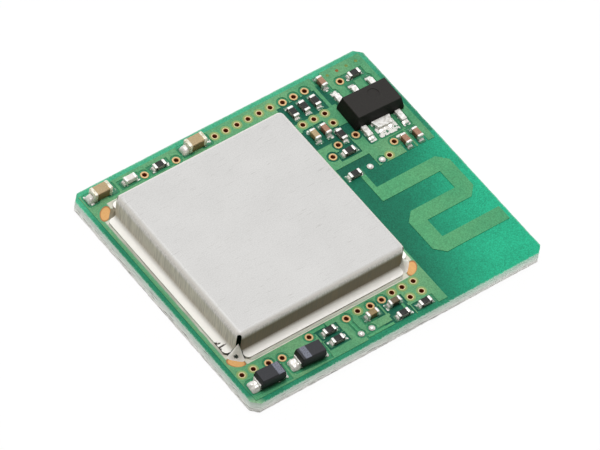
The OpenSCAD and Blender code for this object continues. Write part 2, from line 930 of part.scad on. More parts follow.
module solder_joints() {
    color("gainsboro") {
        at_each(small_caps, seat_z)
            end_fillets(small_l, small_w, small_cap_h, small_reach);
        at_each(resistors, seat_z)
            end_fillets(small_l, small_w, resistor_h, small_reach);
        at(inductor_at, seat_z)
            end_fillets(small_l, small_w, small_w, small_reach);
        at_each(large_caps, seat_z)
            end_fillets(large_l, large_w, large_h, large_reach);
        at_each(tantalums, seat_z)
            for (side = [-1, 1])
                rotate(side < 0 ? 180 : 0)
                    translate([tan_l / 2 + strip_t, 0])
                        fillet(tan_reach + side * tan_slip, tan_h / 2 * fillet_rise, strip_w);
        at(regulator_at, seat_z) {
            for (x = [-1, 0, 1], y = [-1, 1])
                if (!(x == 0 && y < 0))
                    translate([x * lead_pitch, y * (reg_w / 2 + lead_l)])
                        rotate(90 * y)
                            fillet(lead_reach, lead_t * fillet_rise, lead_w);
            translate([0, -reg_w / 2 - tab_l])
                rotate(-90)
                    fillet(lead_l + lead_reach - tab_l, lead_t * fillet_rise, tab_end_w);
        }
        at_each(empty_pads, seat_z)
            dome(empty_d, empty_h);
    }
}

// Radio under the can

module radio_chip() {
    color("black")
        translate([radio_at.x, radio_at.y, top_z + ball_h + radio_h / 2])
            cube([radio_side, radio_side, radio_h], center = true);
}

module radio_balls() {
    color("silver")
        for (i = [0:ball_count - 1], j = [0:ball_count - 1])
            translate([radio_at.x + (i - (ball_count - 1) / 2) * ball_pitch,
                       radio_at.y + (j - (ball_count - 1) / 2) * ball_pitch, top_z])
                cylinder(h = ball_h, d = ball_d);
}

module memory_chip() {
    color("black")
        translate([flash_at.x, flash_at.y, top_z + flash_h / 2])
            cube([flash_l, flash_w, flash_h], center = true);
}

// Ceramic tub with a metal lid set back from its rim
module crystal() {
    color("silver")
        translate([crystal_at.x, crystal_at.y, top_z]) {
            linear_extrude(crystal_h - lid_h)
                square([crystal_l, crystal_w], center = true);
            linear_extrude(crystal_h)
                square([crystal_l - 2 * lid_rim, crystal_w - 2 * lid_rim], center = true);
        }
}

module band_filter() {
    color("antiquewhite")
        translate([filter_at.x, filter_at.y, top_z])
            cap_body(filter_l, filter_w, filter_h);
}

module balun() {
    color("linen")
        translate([balun_at.x, balun_at.y, top_z])
            cap_body(balun_l, balun_w, balun_h);
}

module inner_capacitors() {
    color("tan")
        at_each(inner_caps, top_z)
            cap_body(small_l, small_w, small_cap_h);
}

board();
copper_pour();
antenna_trace();
signal_tracks();
shield_land();
via_barrels();
component_pads();
underside_lands();
shield_can();
shield_solder();
regulator_body();
regulator_tab();
regulator_leads();
tantalum_terminals();
capacitor_terminals();
resistor_terminals();
inductor();
inductor_terminals();
solder_joints();
radio_chip();
radio_balls();
memory_chip();
crystal();
band_filter();
balun();
inner_capacitors();
for (i = [0:len(large_caps) - 1])
    large_capacitor(large_caps[i]);
for (i = [0:len(small_caps) - 1])
    small_capacitor(small_caps[i]);
for (i = [0:len(resistors) - 1])
    resistor(resistors[i]);
for (i = [0:len(tantalums) - 1])
    tantalum(tantalums[i]);
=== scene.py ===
import bmesh
import bpy
import numpy as np
from mathutils import Matrix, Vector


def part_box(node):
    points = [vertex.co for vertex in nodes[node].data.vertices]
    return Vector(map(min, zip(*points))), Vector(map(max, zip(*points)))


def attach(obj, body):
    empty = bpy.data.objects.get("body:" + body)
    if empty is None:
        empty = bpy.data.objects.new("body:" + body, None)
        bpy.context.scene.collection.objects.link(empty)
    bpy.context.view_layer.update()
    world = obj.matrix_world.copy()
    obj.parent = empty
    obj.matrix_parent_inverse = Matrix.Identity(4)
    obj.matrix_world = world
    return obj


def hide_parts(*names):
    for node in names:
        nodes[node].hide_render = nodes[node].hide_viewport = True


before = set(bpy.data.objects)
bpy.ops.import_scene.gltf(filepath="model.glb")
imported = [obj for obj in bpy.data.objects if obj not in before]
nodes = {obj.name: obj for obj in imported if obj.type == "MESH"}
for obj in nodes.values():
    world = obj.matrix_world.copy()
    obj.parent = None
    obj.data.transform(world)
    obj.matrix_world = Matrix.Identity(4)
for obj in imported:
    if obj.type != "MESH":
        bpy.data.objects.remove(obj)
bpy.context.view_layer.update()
MM = 0.001

# Board: a rectangle of glass-fibre laminate with its corners cut off, coated green on both faces.
# It was snapped out of a larger panel, so its edges are bare and pale, with torn fibres that lie in layers.

BOARD_HIGH = np.array(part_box("board")[1]) / MM
TOP = BOARD_HIGH[2]
EDGE_STEP = 0.07
EDGE_ROWS = 15
EDGE_WEAR = 0.035
EDGE_ZONE = 0.6
LAYER_CELL = (0.6, 0.6, 0.11)
THREAD_CELL = (0.2, 0.2, 0.09)
NEAR = 1e-3
WELD = 1e-4 * MM
LATTICE = 32
SOFT_ANGLE = np.radians(40)


def linear(code):
    """An sRGB hex colour as linear red, green, blue and alpha."""
    srgb = np.array([int(code[i:i + 2], 16) for i in (0, 2, 4)]) / 255
    light = np.where(srgb <= 0.04045, srgb / 12.92, ((srgb + 0.055) / 1.055) ** 2.4)
    return (*light, 1.0)


def feed(node, inputs):
    """Set a node's inputs by name or number: a socket is linked, and anything else is a value."""
    for key, value in inputs.items():
        if isinstance(value, bpy.types.NodeSocket):
            node.id_data.links.new(value, node.inputs[key])
        else:
            node.inputs[key].default_value = value


def add(tree, kind, inputs, out=0, **settings):
    """Add a shader node with its settings and inputs, and return one of its outputs."""
    node = tree.nodes.new("ShaderNode" + kind)
    for name, value in settings.items():
        setattr(node, name, value)
    feed(node, inputs)
    return node.outputs[out]


def new_material(name):
    """A material with a principled shader: the material, that shader, and a point's place on the piece."""
    material = bpy.data.materials.new(name)
    material.use_nodes = True
    tree = material.node_tree
    return material, tree.nodes["Principled BSDF"], add(tree, "TexCoord", {}, "Object")


def axes_of(place):
    """A point's X, Y and Z."""
    return add(place.id_data, "SeparateXYZ", {0: place}).node.outputs


def mapped(place, **inputs):
    """A point scaled, turned and moved, in that order."""
    return add(place.id_data, "Mapping", {0: place, **inputs})


def noise(place, size, detail):
    """Noise with grains of that size in millimetres."""
    return add(place.id_data, "TexNoise", {"Vector": place, "Scale": 1 / (size * MM), "Detail": detail})


def long_noise(place, sizes, detail, roughness=0.5, turn=0):
    """Noise with grains of those sizes in millimetres along the axes."""
    place = mapped(place, Rotation=(0, 0, turn), Scale=tuple(1 / (size * MM) for size in sizes))
    inputs = {"Vector": place, "Scale": 1, "Detail": detail, "Roughness": roughness}
    return add(place.id_data, "TexNoise", inputs)


def ramp(value, low, high, to_low=0, to_high=1, **settings):
    """Carry a value from the range low to high over to another range, and hold it at its ends."""
    inputs = dict(enumerate((value, low, high, to_low, to_high)))
    return add(value.id_data, "MapRange", inputs, **settings)


def maths(operation, *values):
    """A sum, a product or the like of sockets and numbers."""
    tree = next(value.id_data for value in values if isinstance(value, bpy.types.NodeSocket))
    return add(tree, "Math", dict(enumerate(values)), operation=operation)


def vector(operation, *values):
    """A sum, a distance or the like of vectors, the first of them a socket."""
    out = "Value" if operation in ("DOT_PRODUCT", "DISTANCE", "LENGTH") else "Vector"
    return add(values[0].id_data, "VectorMath", dict(enumerate(values)), out, operation=operation)


def mixed(amount, first, second):
    """A colour between two, each a hex code or a socket: the first at 0 and the second at 1."""
    first, second = (linear(colour) if isinstance(colour, str) else colour for colour in (first, second))
    return add(amount.id_data, "Mix", {0: amount, 6: first, 7: second}, 2, data_type="RGBA")


def shaded(colour, level):
    """A colour made darker or brighter by a level."""
    return add(colour.id_data, "VectorMath", {0: colour, "Scale": level}, operation="SCALE")


def value_noise(points, cell, seed):
    """Smooth noise from -1 to 1: random values on a lattice of that cell size, blended in between."""
    lattice = np.random.default_rng(seed).uniform(-1, 1, (LATTICE, LATTICE, LATTICE))
    spot = points / np.asarray(cell)
    low = np.floor(spot).astype(int)
    blend = spot - low
    blend = blend * blend * (3 - 2 * blend)
    total = np.zeros(len(points))
    for corner in np.ndindex(2, 2, 2):
        at = (low + corner) % LATTICE
        weight = np.prod(np.where(corner, blend, 1 - blend), axis=1)
        total += weight * lattice[at[:, 0], at[:, 1], at[:, 2]]
    return total


def node_points(node):
    """The points of a CAD node in millimetres, each once, and its triangles as their numbers."""
    mesh = nodes[node].data
    flat = np.empty(len(mesh.vertices) * 3)
    mesh.vertices.foreach_get("co", flat)
    mesh.calc_loop_triangles()
    corners = np.empty(len(mesh.loop_triangles) * 3, dtype=int)
    mesh.loop_triangles.foreach_get("vertices", corners)
    points, number = np.unique(np.round(flat.reshape(-1, 3) / MM, 4), axis=0, return_inverse=True)
    triangles = number.reshape(-1)[corners].reshape(-1, 3)
    return points, triangles[(triangles != np.roll(triangles, 1, axis=1)).all(axis=1)]


def new_mesh(name, points, faces):
    """A mesh of points in millimetres and faces as their numbers."""
    mesh = bpy.data.meshes.new(name)
    mesh.from_pydata(points * MM, [], faces)
    return mesh


def new_object(name, mesh):
    """Put a mesh into the scene at the origin, smooth across its soft edges."""
    mesh.shade_smooth()
    mesh.set_sharp_from_angle(angle=SOFT_ANGLE)
    piece = bpy.data.objects.new(name, mesh)
    bpy.context.collection.objects.link(piece)
    return piece


def finish_piece(piece, material, slot, *replaced):
    """Give a piece its material, say what it rides on and hide the CAD nodes it stands for. The slot is not
    used.
    """
    piece.data.materials.append(material)
    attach(piece, "root")
    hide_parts(*replaced)


def worn_wall(outline, height):
    """The board's side as rings of points, one row over another: the outline carried upwards, each point
    drawn in by noise that is stretched along the edge, as torn layers of glass cloth are."""
    level = np.linspace(0, height, EDGE_ROWS)[:, None]
    wall = np.concatenate([np.broadcast_to(outline, (EDGE_ROWS, *outline.shape)),
                           np.broadcast_to(level[..., None], (EDGE_ROWS, len(outline), 1))], axis=2)
    flat = wall.reshape(-1, 3)
    layers = value_noise(flat, LAYER_CELL, 1) + 0.8 * value_noise(flat, THREAD_CELL, 2)
    inward = EDGE_WEAR * np.clip(0.4 + 0.5 * layers, 0, 1)
    away = np.sign(flat) * (np.abs(flat) > BOARD_HIGH - EDGE_ZONE)
    away[:, 2] = 0
    return (flat - away * inward[:, None]).reshape(wall.shape)


def grid_faces(copies, rows, columns, loop=False):
    """Quads of like grids of points stored copy by copy and row by row, each closed round its columns, and
    for a loop round its rows too."""
    copy, row, column = np.meshgrid(np.arange(copies), np.arange(rows if loop else rows - 1),
                                    np.arange(columns), indexing="ij")
    below = (row + 1) % rows
    right = (column + 1) % columns
    corners = [(row, column), (row, right), (below, right), (below, column)]
    return np.stack([(copy * rows + r) * columns + c for r, c in corners], axis=-1).reshape(-1, 4)


board_points, board_triangles = node_points("board")
on_rim = (np.abs(board_points[:, :2]) > BOARD_HIGH[:2] - NEAR).any(axis=1)
rim = board_points[on_rim & (board_points[:, 2] > TOP - NEAR), :2]
rim = rim[np.argsort(np.arctan2(rim[:, 1] / BOARD_HIGH[1], rim[:, 0] / BOARD_HIGH[0]))]
side_ends = np.roll(rim, -1, axis=0)
side_counts = np.ceil(np.linalg.norm(side_ends - rim, axis=1) / EDGE_STEP).astype(int)
outline = np.concatenate([a + (b - a) * np.linspace(0, 1, n, endpoint=False)[:, None]
                          for a, b, n in zip(rim, side_ends, side_counts)])
wall = worn_wall(outline, TOP)

# The faces and the sides come off a copy of the plain board, whose bores and pockets stay. The worn wall
# goes on in place of the sides, and both faces are filled again up to it.
at_face = [np.abs(board_points[:, 2] - z) < NEAR for z in (0, TOP)]
on_face = np.any([f[board_triangles].all(axis=1) for f in at_face], axis=0)
plain = on_rim[board_triangles].all(axis=1) | on_face
wall_faces = grid_faces(1, *wall.shape[:2]) + len(board_points)
board_mesh = new_mesh("board_laminate", np.concatenate([board_points, wall.reshape(-1, 3)]),
                      board_triangles[~plain].tolist() + wall_faces.tolist())
shell = bmesh.new()
shell.from_mesh(board_mesh)
bmesh.ops.delete(shell, geom=[v for v in shell.verts if not v.link_faces], context="VERTS")
for z in (0, TOP * MM):
    open_edges = [e for e in shell.edges if e.is_boundary and all(abs(v.co.z - z) < WELD for v in e.verts)]
    filled = bmesh.ops.triangle_fill(shell, edges=open_edges, use_beauty=True, use_dissolve=False)
    for face in filled["geom"]:
        if isinstance(face, bmesh.types.BMFace):
            face.material_index = 1
bmesh.ops.recalc_face_normals(shell, faces=shell.faces)
shell.to_mesh(board_mesh)
shell.free()
board = new_object("board_laminate", board_mesh)

# Bare glass-fibre laminate: pale grey resin with white torn threads along the layers and dark gaps between
# them. The coat tinges it green upwards, and towards the antenna it is clean.
laminate, shader, place = new_material("torn_glass_fibre_laminate")
axes = axes_of(place)
streaks = long_noise(place, (0.7, 0.7, 0.09), 3, 0.6)
flecks = long_noise(place, (0.22, 0.22, 0.16), 2)
layers = long_noise(place, (1.6, 1.6, 0.13), 2, 0.7)
clean = ramp(axes["X"], 2 * MM, 8 * MM, 0, 0.8)
near_coat = ramp(axes["Z"], 0.15 * MM, 0.85 * TOP * MM, 0, 0.75)
torn = ramp(maths("MULTIPLY_ADD", axes["Z"], 0.1 / MM, layers), 0.47, 0.4, 0, 0.8)
torn = maths("MULTIPLY", torn, maths("SUBTRACT", 1, clean))
tint = mixed(ramp(streaks, 0.3, 0.5), "b9beb5", "fcfdfb")
tint = mixed(ramp(flecks, 0.32, 0.24, 0, 0.6), tint, "74776c")
tint = mixed(clean, tint, "fdfefd")
tint = mixed(near_coat, tint, mixed(clean, "a4c4b2", "86d6b4"))
tint = mixed(torn, tint, "4c5148")
feed(shader, {"Base Color": tint, "Roughness": 0.35, "Specular IOR Level": 1.0})

# Green solder resist on laminate: a thin lacquer, deep where inner copper lies under it and brighter
# towards the antenna's outer edges, where light comes through the bare laminate. It thins to a pale rim
# along the torn edges and is rubbed pale at the front left corner. The glass weave shows as a faint grain.
ANTENNA_LEFT = 4.45
ANTENNA_BACK = 2.05
INNER_COPPER = ((6.2, 6.4, 2.3, 3.4), (6.0, 2.4, 1.7, 0.6), (-4.6, -9.0, 1.0, 1.0), (1.0, -9.5, 1.9, 1.3))
resist, shader, place = new_material("green_resist_on_laminate")
axes = axes_of(place)
grain = noise(place, 0.08, 2)
cloud = noise(place, 2.5, 2)
from_x, from_y = (maths("SUBTRACT", half * MM, maths("ABSOLUTE", axes[axis]))
                  for axis, half in zip("XY", BOARD_HIGH))
from_edge = maths("MINIMUM", from_x, from_y)
over_inner = 0
for x, y, half_x, half_y in INNER_COPPER:
    off_field = vector("ABSOLUTE", vector("SUBTRACT", place, (x * MM, y * MM, TOP * MM)))
    off_axes = axes_of(vector("SUBTRACT", off_field, (half_x * MM, half_y * MM, 0)))
    in_field = ramp(maths("MAXIMUM", off_axes["X"], off_axes["Y"]), 0.1 * MM, -0.1 * MM)
    over_inner = maths("MAXIMUM", over_inner, in_field)
under = mixed(over_inner, "3a8660", "165e4a")
# The bare margin strip is painted paler towards the back, as a sheen on the coat.
strip = mixed(ramp(axes["Y"], 7.5 * MM, 10 * MM), "258362", "44a781")
under = mixed(ramp(from_edge, 0.62 * MM, 0.46 * MM), under, strip)
glow = vector("DOT_PRODUCT", place, (0.115 / MM, -0.05 / MM, 0))
antenna = mixed(ramp(glow, 0.76, 1.68, interpolation_type="SMOOTHSTEP"), "166951", "24ab83")
in_antenna = maths("MULTIPLY", maths("GREATER_THAN", axes["X"], ANTENNA_LEFT * MM),
                   maths("LESS_THAN", axes["Y"], ANTENNA_BACK * MM))
under = mixed(in_antenna, under, antenna)
thin = ramp(maths("MULTIPLY_ADD", grain, 0.4 * MM, from_edge), 0.3 * MM, 0.2 * MM, 0, 0.7)
under = mixed(thin, under, "b9dccb")
off_corner = vector("DISTANCE", place, tuple(BOARD_HIGH * [-1, -1, 1] * MM))
rubbed = ramp(maths("MULTIPLY_ADD", grain, 0.5 * MM, off_corner), 1.35 * MM, 0.75 * MM, 0, 0.8)
under = mixed(rubbed, under, "97bf97")
level = ramp(maths("MULTIPLY_ADD", cloud, 0.3, grain), 0.4, 0.9, 0.66, 1.34)
feed(shader, {"Base Color": shaded(under, level), "Roughness": 0.4, "Specular IOR Level": 0.12})

finish_piece(board, laminate, "coated_laminate", "board")
board.data.materials.append(resist)

# Copper under the coat: the ground pour, the antenna's meander and the tracks, etched from foil. The coat
# lies over them, so they show as a lighter, yellower green that stands a little proud.


def bumped(height, strength, depth):
    """A normal that follows a height, for relief of that depth in millimetres."""
    inputs = {"Strength": strength, "Distance": depth * MM, "Height": height}
    return add(height.id_data, "Bump", inputs, "Normal")


def paint(material, *names):
    """Give CAD nodes a material."""
    for name in names:
        nodes[name].material_slots[0].material = material


for name, dark, light, on in (
        ("green_resist_on_copper", "46976a", "57a06f", ("antenna_trace", "signal_tracks")),
        ("olive_green_resist_on_pour", "4a9469", "6aa173", ("copper_pour",))):
    covered, shader, place = new_material(name)
    grain = noise(place, 0.09, 2)
    tint = mixed(ramp(noise(place, 3, 2), 0.3, 0.7), dark, light)
    tint = shaded(tint, ramp(grain, 0.3, 0.7, 0.78, 1.22))
    feed(shader, {"Base Color": tint, "Roughness": 0.4, "Specular IOR Level": 0.15,
                  "Normal": bumped(grain, 0.2, 0.01)})
    paint(covered, *on)

# Plated copper: the can's land, the vias that join the copper layers, the chips' pads and the lands below.
# Openings in the coat leave them bare, and a flash of gold keeps them from tarnish until they are soldered.

VIA_BORE = 0.17
VIA_BARREL = 0.23
VIA_RING = 0.33
VIA_HALO = 0.4
FOIL = 0.04
LIP = 0.03
VIA_SIDES = 36
LAP = 0.006
SEAT = TOP + FOIL


def islands(node):
    """The separate solids of a CAD node, each as its points in millimetres. Every point takes the lowest
    number among its triangles' corners until nothing changes, so each solid ends with one number."""
    points, triangles = node_points(node)
    label = np.arange(len(points))
    before = None
    while before is None or (label != before).any():
        before = label.copy()
        lowest = label[triangles].min(axis=1)
        for corner in range(3):
            np.minimum.at(label, triangles[:, corner], lowest)
        label = label[label]
    return [points[label == number] for number in np.unique(label)]


def piece_of_rings(name, rings, loop=False):
    """A piece skinned over rings of points in millimetres, as copies, rings, points and axes. Each copy is
    closed at both ends by a point in the ring's middle, or, for a loop, its last ring joins its first."""
    if not loop:
        ends = np.broadcast_to(rings[:, [0, -1]].mean(axis=2, keepdims=True), rings[:, [0, -1]].shape)
        rings = np.concatenate([ends[:, :1], rings, ends[:, 1:]], axis=1)
    mesh = new_mesh(name, rings.reshape(-1, 3), grid_faces(*rings.shape[:3], loop).tolist())
    welded = bmesh.new()
    welded.from_mesh(mesh)
    bmesh.ops.remove_doubles(welded, verts=welded.verts, dist=WELD)
    bmesh.ops.recalc_face_normals(welded, faces=welded.faces)
    welded.to_mesh(mesh)
    welded.free()
    return new_object(name, mesh)


def turned(profile, centres, count):
    """A profile of radii and heights spun about upright axes: rings of that many points for each centre."""
    angle = np.linspace(0, 2 * np.pi, count, endpoint=False)
    round_ = np.stack([np.cos(angle), np.sin(angle)], axis=-1)
    spun = profile[:, None, :1] * round_[None]
    heights = np.broadcast_to(profile[:, None, 1:], (*spun.shape[:2], 1))
    one = np.concatenate([spun, heights], axis=2)
    return one[None] + np.pad(centres, ((0, 0), (0, 1)))[:, None, None]


# A via's section: up the bore, over a rounded lip, out along the ring and back under it, the same at both
# ends. Where a via joins the pour, the coat's thin edge laps its ring, so the section runs on outwards.
lip = np.linspace(0, np.pi / 2, 4)
rise_of_lip = np.stack([VIA_BORE + LIP * (1 - np.cos(lip)), SEAT - LIP * (1 - np.sin(lip))], axis=1)
flat_ring = np.stack([np.linspace(VIA_BORE + LIP, VIA_RING, 6)[1:-1], np.full(4, SEAT)], axis=1)
fall_of_ring = np.stack([VIA_RING - LIP * (1 - np.sin(lip)), SEAT - LIP * (1 - np.cos(lip))], axis=1)
bare_end = [[VIA_RING, TOP], [VIA_BARREL, TOP]]
lapped_end = [[VIA_RING, SEAT + LAP], [VIA_HALO, SEAT + LAP / 2], [VIA_HALO, SEAT - LAP], [VIA_BARREL, TOP]]
lower = np.concatenate([rise_of_lip, fall_of_ring, bare_end])[::-1] * [1, -1] + [0, SEAT]
bare_section = np.concatenate([rise_of_lip, flat_ring, fall_of_ring, bare_end, lower])
lapped_section = np.concatenate([rise_of_lip, flat_ring, lapped_end, lower])
via_centres = np.array([(p.min(axis=0) + p.max(axis=0))[:2] / 2 for p in islands("via_barrels")])
pour_points = node_points("copper_pour")[0][:, :2]
pour_off = np.linalg.norm(via_centres[:, None] - pour_points[None], axis=2).min(axis=1)

# Gold flash on copper: warm pale gold, browner at the lip, where the plating is thin. Down the bore it is
# painted dark brown as shade inside the hole, and at the outer rim of the ring the green coat laps over it
# in an olive line.
for name, section, chosen, look, dull, bright, lapped in (
        ("plated_vias", bare_section, pour_off > VIA_HALO,
         "gold_flash_on_via", "c6a06b", "e0c192", 0.02),
        ("plated_vias_in_pour", lapped_section, pour_off <= VIA_HALO,
         "gold_flash_under_coat", "cbb687", "e9d9ae", 0.085)):
    via_gold, shader, place = new_material(look)
    height = axes_of(place)["Z"]
    off_axis = add(place.id_data, "Attribute", {}, "Fac", attribute_name="off_axis")
    mottle = noise(place, 0.12, 3)
    worn = maths("MULTIPLY_ADD", mottle, 0.05, off_axis)
    tint = mixed(mottle, dull, bright)
    tint = mixed(ramp(worn, VIA_BORE + 0.03, VIA_BORE + 0.075, 1, 0), tint, "a9683a")
    tint = mixed(ramp(worn, VIA_RING - lapped, VIA_RING + 0.06 - lapped), tint, "7f9a5a")
    # Painted shade: below the ring the bore turns dark brown with depth.
    deep = ramp(height, (SEAT - 0.015) * MM, (SEAT - 0.2) * MM)
    bore_shade = maths("MULTIPLY", deep, maths("GREATER_THAN", height, 0.01 * MM))
    tint = mixed(bore_shade, tint, "8f4418")
    feed(shader, {"Base Color": tint, "Metallic": 0.25, "Roughness": 0.45})
    vias = piece_of_rings(name, turned(section, via_centres[chosen], VIA_SIDES), loop=True)
    flat = np.empty(len(vias.data.vertices) * 3)
    vias.data.vertices.foreach_get("co", flat)
    away = np.linalg.norm(flat.reshape(-1, 1, 3)[..., :2] / MM - via_centres[None], axis=2).min(axis=1)
    vias.data.attributes.new("off_axis", "FLOAT", "POINT").data.foreach_set("value", away)
    finish_piece(vias, via_gold, "gold_plating", "via_barrels")

# The coat sags into the four small vias behind the regulator: a shallow bowl in each, olive over the copper
# below. In the second one it has burst and shows brown copper.
DIMPLE = 0.13
DIMPLE_SAG = 0.025
DIMPLE_SIDES = 24
DIMPLES = np.array([[9.41, 10.19], [10.28, 10.19], [11.15, 10.19], [12.02, 10.19]])
spread = np.linspace(0, 1, 6)
bowl = np.stack([DIMPLE * (1 - spread), SEAT - DIMPLE_SAG * np.sin(np.pi / 2 * spread)], axis=1)
bowl = np.concatenate([[[DIMPLE, TOP]], bowl])
bowls = piece_of_rings("coated_vias", turned(bowl, DIMPLES, DIMPLE_SIDES))
sagged, shader, place = new_material("olive_resist_over_via")
off_burst = maths("ABSOLUTE", maths("SUBTRACT", axes_of(place)["X"], DIMPLES[1, 0] * MM))
tint = mixed(noise(place, 0.08, 2), "5f7a3c", "7f944c")
tint = mixed(ramp(off_burst, 0.3 * MM, 0.2 * MM), tint, "8a5a2a")
feed(shader, {"Base Color": tint, "Roughness": 0.45, "Specular IOR Level": 0.2})
finish_piece(bowls, sagged, "coated_copper", "via_barrels")


def off_oval(place, middle, halves, turn):
    """A point's distance from an oval's middle, 1 on the oval's rim. The oval has those half sizes in
    millimetres and is turned in plan."""
    off = mapped(vector("SUBTRACT", place, middle), Rotation=(0, 0, turn))
    return vector("LENGTH", mapped(off, Scale=(1 / (halves[0] * MM), 1 / (halves[1] * MM), 0)))


# The can's land is gold in an oval at each corner, browner at its rim, with green coat round it. Along the
# sides solder has tinned it grey, and at its outer edge the green shows through.
OVAL = (0.39, 0.69)
OVAL_IN = 0.34
OVAL_BACK = 0.1
CORNER_ZONE = 1
CAN_LOW, CAN_HIGH = (np.array(corner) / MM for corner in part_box("shield_can"))
CAN_MIDDLE = (CAN_LOW + CAN_HIGH) / 2
CAN_HALF = CAN_HIGH - CAN_MIDDLE
land_metal, shader, place = new_material("gold_flash_tinned_along_can")
mottle = noise(place, 0.1, 3)
axes = axes_of(mapped(place, Location=(-CAN_MIDDLE[0] * MM, (OVAL_BACK - CAN_MIDDLE[1]) * MM, 0)))
side_x, side_y = (maths("ABSOLUTE", axes[axis]) for axis in "XY")
sides = add(place.id_data, "CombineXYZ", {0: side_x, 1: side_y})
from_oval = off_oval(sides, tuple(np.append(CAN_HALF[:2] - OVAL_IN, 0) * MM), OVAL, -np.pi / 4)
ragged = maths("MULTIPLY_ADD", mottle, 0.12, from_oval)
gold = mixed(mottle, "c68f50", "dcae6f")
gold = mixed(ramp(ragged, 0.86, 1.0), gold, "a2663a")
past_flange = axes_of(vector("SUBTRACT", sides, tuple(np.append(CAN_HALF[:2], 0) * MM)))["X"]
past_flange = maths("MULTIPLY_ADD", mottle, 0.12 * MM, past_flange)
tin = mixed(mottle, "b9b6a6", "d9d8cc")
tin = mixed(ramp(past_flange, 0.14 * MM, 0.22 * MM), tin, "5c9c72")
far_x, far_y = (CAN_HALF[:2] - CORNER_ZONE) * MM
at_corner = maths("MULTIPLY", ramp(side_x, far_x, far_x + 0.1 * MM), ramp(side_y, far_y, far_y + 0.1 * MM))
tin = mixed(at_corner, tin, "4f9a6e")
tint = mixed(ramp(ragged, 1.06, 1.14), gold, tin)
feed(shader, {"Base Color": tint, "Metallic": 0.3, "Roughness": 0.45})
paint(land_metal, "shield_land")


def mottled(name, size, dark, light, span=None, relief=None, **look):
    """A material whose colour goes from dark to light with noise of that grain in millimetres, over a span
    of the noise where one is given. Relief is the strength and depth of the noise as bumps."""
    material, shader, place = new_material(name)
    grain = noise(place, size, 3)
    look["Base Color"] = mixed(ramp(grain, *span) if span else grain, dark, light)
    if relief:
        look["Normal"] = bumped(grain, *relief)
    feed(shader, look)
    return material


# Gold flash of the lands below: brighter and smoother, as nothing has been soldered there yet
land_gold = mottled("gold_flash_on_land", 0.15, "c8a260", "e2c48c", Metallic=0.8, Roughness=0.35)
paint(land_gold, "underside_lands")

# Chips: fired ceramic blocks with plated ends, set on two pads each. The capacitors are tan, pink or brown
# all through, and the resistors are alumina slabs with a black glaze on top. One pale chip is an inductor.

CHIP_EDGE = 0.05
PLATING = 0.02


def rounded_block(size, edge, steps=4):
    """Rings of blocks with rounded edges, about their middles: a rectangle with quarter-round corners,
    drawn in along a quarter circle at the underside and at the top. The sizes are copies by axes."""
    size = np.asarray(size, dtype=float)[:, None, None]
    arc = np.linspace(0, np.pi / 2, steps)
    turn = (np.arange(4)[:, None] * np.pi / 2 + arc).reshape(-1)
    corner = np.repeat([[1, 1], [-1, 1], [-1, -1], [1, -1]], steps, axis=0)
    inset = edge * np.concatenate([1 - np.sin(arc), 1 - np.cos(arc)])[None, :, None, None]
    plan = corner * (size[..., :2] / 2 - edge)
    plan = plan + (edge - inset) * np.stack([np.cos(turn), np.sin(turn)], axis=-1)
    low = -size[:, :, 0, 2] / 2 + edge * (1 - np.cos(arc))
    high = size[:, :, 0, 2] / 2 - edge * (1 - np.sin(arc))
    level = np.concatenate([low, high], axis=1)[:, :, None, None]
    return np.concatenate([plan, np.broadcast_to(level, (*plan.shape[:3], 1))], axis=3)


def long_direction(points):
    """Unit vector along the longest side of a chip's plan, from the spread of its points."""
    return np.linalg.eigh(np.cov(points[:, :2].T))[1][:, -1]


def measure(points, along):
    """A part in its own frame: its middle, its size along, across and up, and the three axes as rows."""
    axes = np.array([[along[0], along[1], 0], [-along[1], along[0], 0], [0, 0, 1]])
    local = points @ axes.T
    low, high = local.min(axis=0), local.max(axis=0)
    return (low + high) / 2 @ axes, high - low, axes


def placed(rings, middles, axes):
    """Rings turned into their parts' frames and moved to their middles."""
    return np.einsum("krci,kij->krcj", rings, np.asarray(axes)) + np.asarray(middles)[:, None, None]


def chip_body(name, node):
    """The ceramic block of a chip, with rounded edges."""
    middle, size, axes = chips[node]
    return piece_of_rings(name, placed(rounded_block([size], CHIP_EDGE), [middle], [axes]))


capacitors = [f"capacitor_{i}" for i in range(1, 10)]
resistors = [f"resistor_{i}" for i in range(1, 13)]
chips = {}
for name in capacitors + resistors + ["inductor"]:
    points = node_points(name)[0]
    chips[name] = measure(points, long_direction(points))
chip_middles, _, chip_axes = (np.array(column) for column in zip(*chips.values()))

# Fired ceramic: dull and finely grained, the sides painted darker as shade. FIRED says which brown each
# chip has.
FIRED = (0, 0, 1, 2, 2, 2, 2, 3, 4)
ceramics = []
for name, light, dark, side, like in (
        ("olive_tan_fired_ceramic", "bba47c", "9d8862", "6f5d31", "capacitor_1"),
        ("tan_fired_ceramic", "bba47c", "9d8862", "8a774c", "capacitor_3"),
        ("pink_fired_ceramic", "ab8168", "8e644e", "7f5a47", "capacitor_4"),
        ("brown_fired_ceramic", "9c8557", "77633e", "6a5937", "capacitor_8"),
        ("dark_brown_fired_ceramic", "6f6147", "4f4430", "433a2a", "capacitor_9")):
    material, shader, place = new_material(name)
    grain = noise(place, 0.06, 3)
    chip_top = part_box(like)[1].z
    on_top = ramp(axes_of(place)["Z"], chip_top - 0.1 * MM, chip_top - 0.04 * MM)
    # Painted shade: below the top each chip takes its darker side colour.
    tint = mixed(on_top, side, mixed(ramp(grain, 0.3, 0.7), dark, light))
    feed(shader, {"Base Color": tint, "Roughness": 0.5, "Normal": bumped(grain, 0.3, 0.006)})
    ceramics.append(material)
for i, name in enumerate(capacitors):
    finish_piece(chip_body(f"ceramic_body_{i + 1}", name), ceramics[FIRED[i]], "tan_ceramic", name)

# White ceramic of the inductor: dense, with a slight gloss
white_ceramic = mottled("white_fired_ceramic", 0.08, "cfc9c6", "e8e4e1", Roughness=0.4)
finish_piece(chip_body("inductor_body", "inductor"), white_ceramic, "pale_ceramic", "inductor")
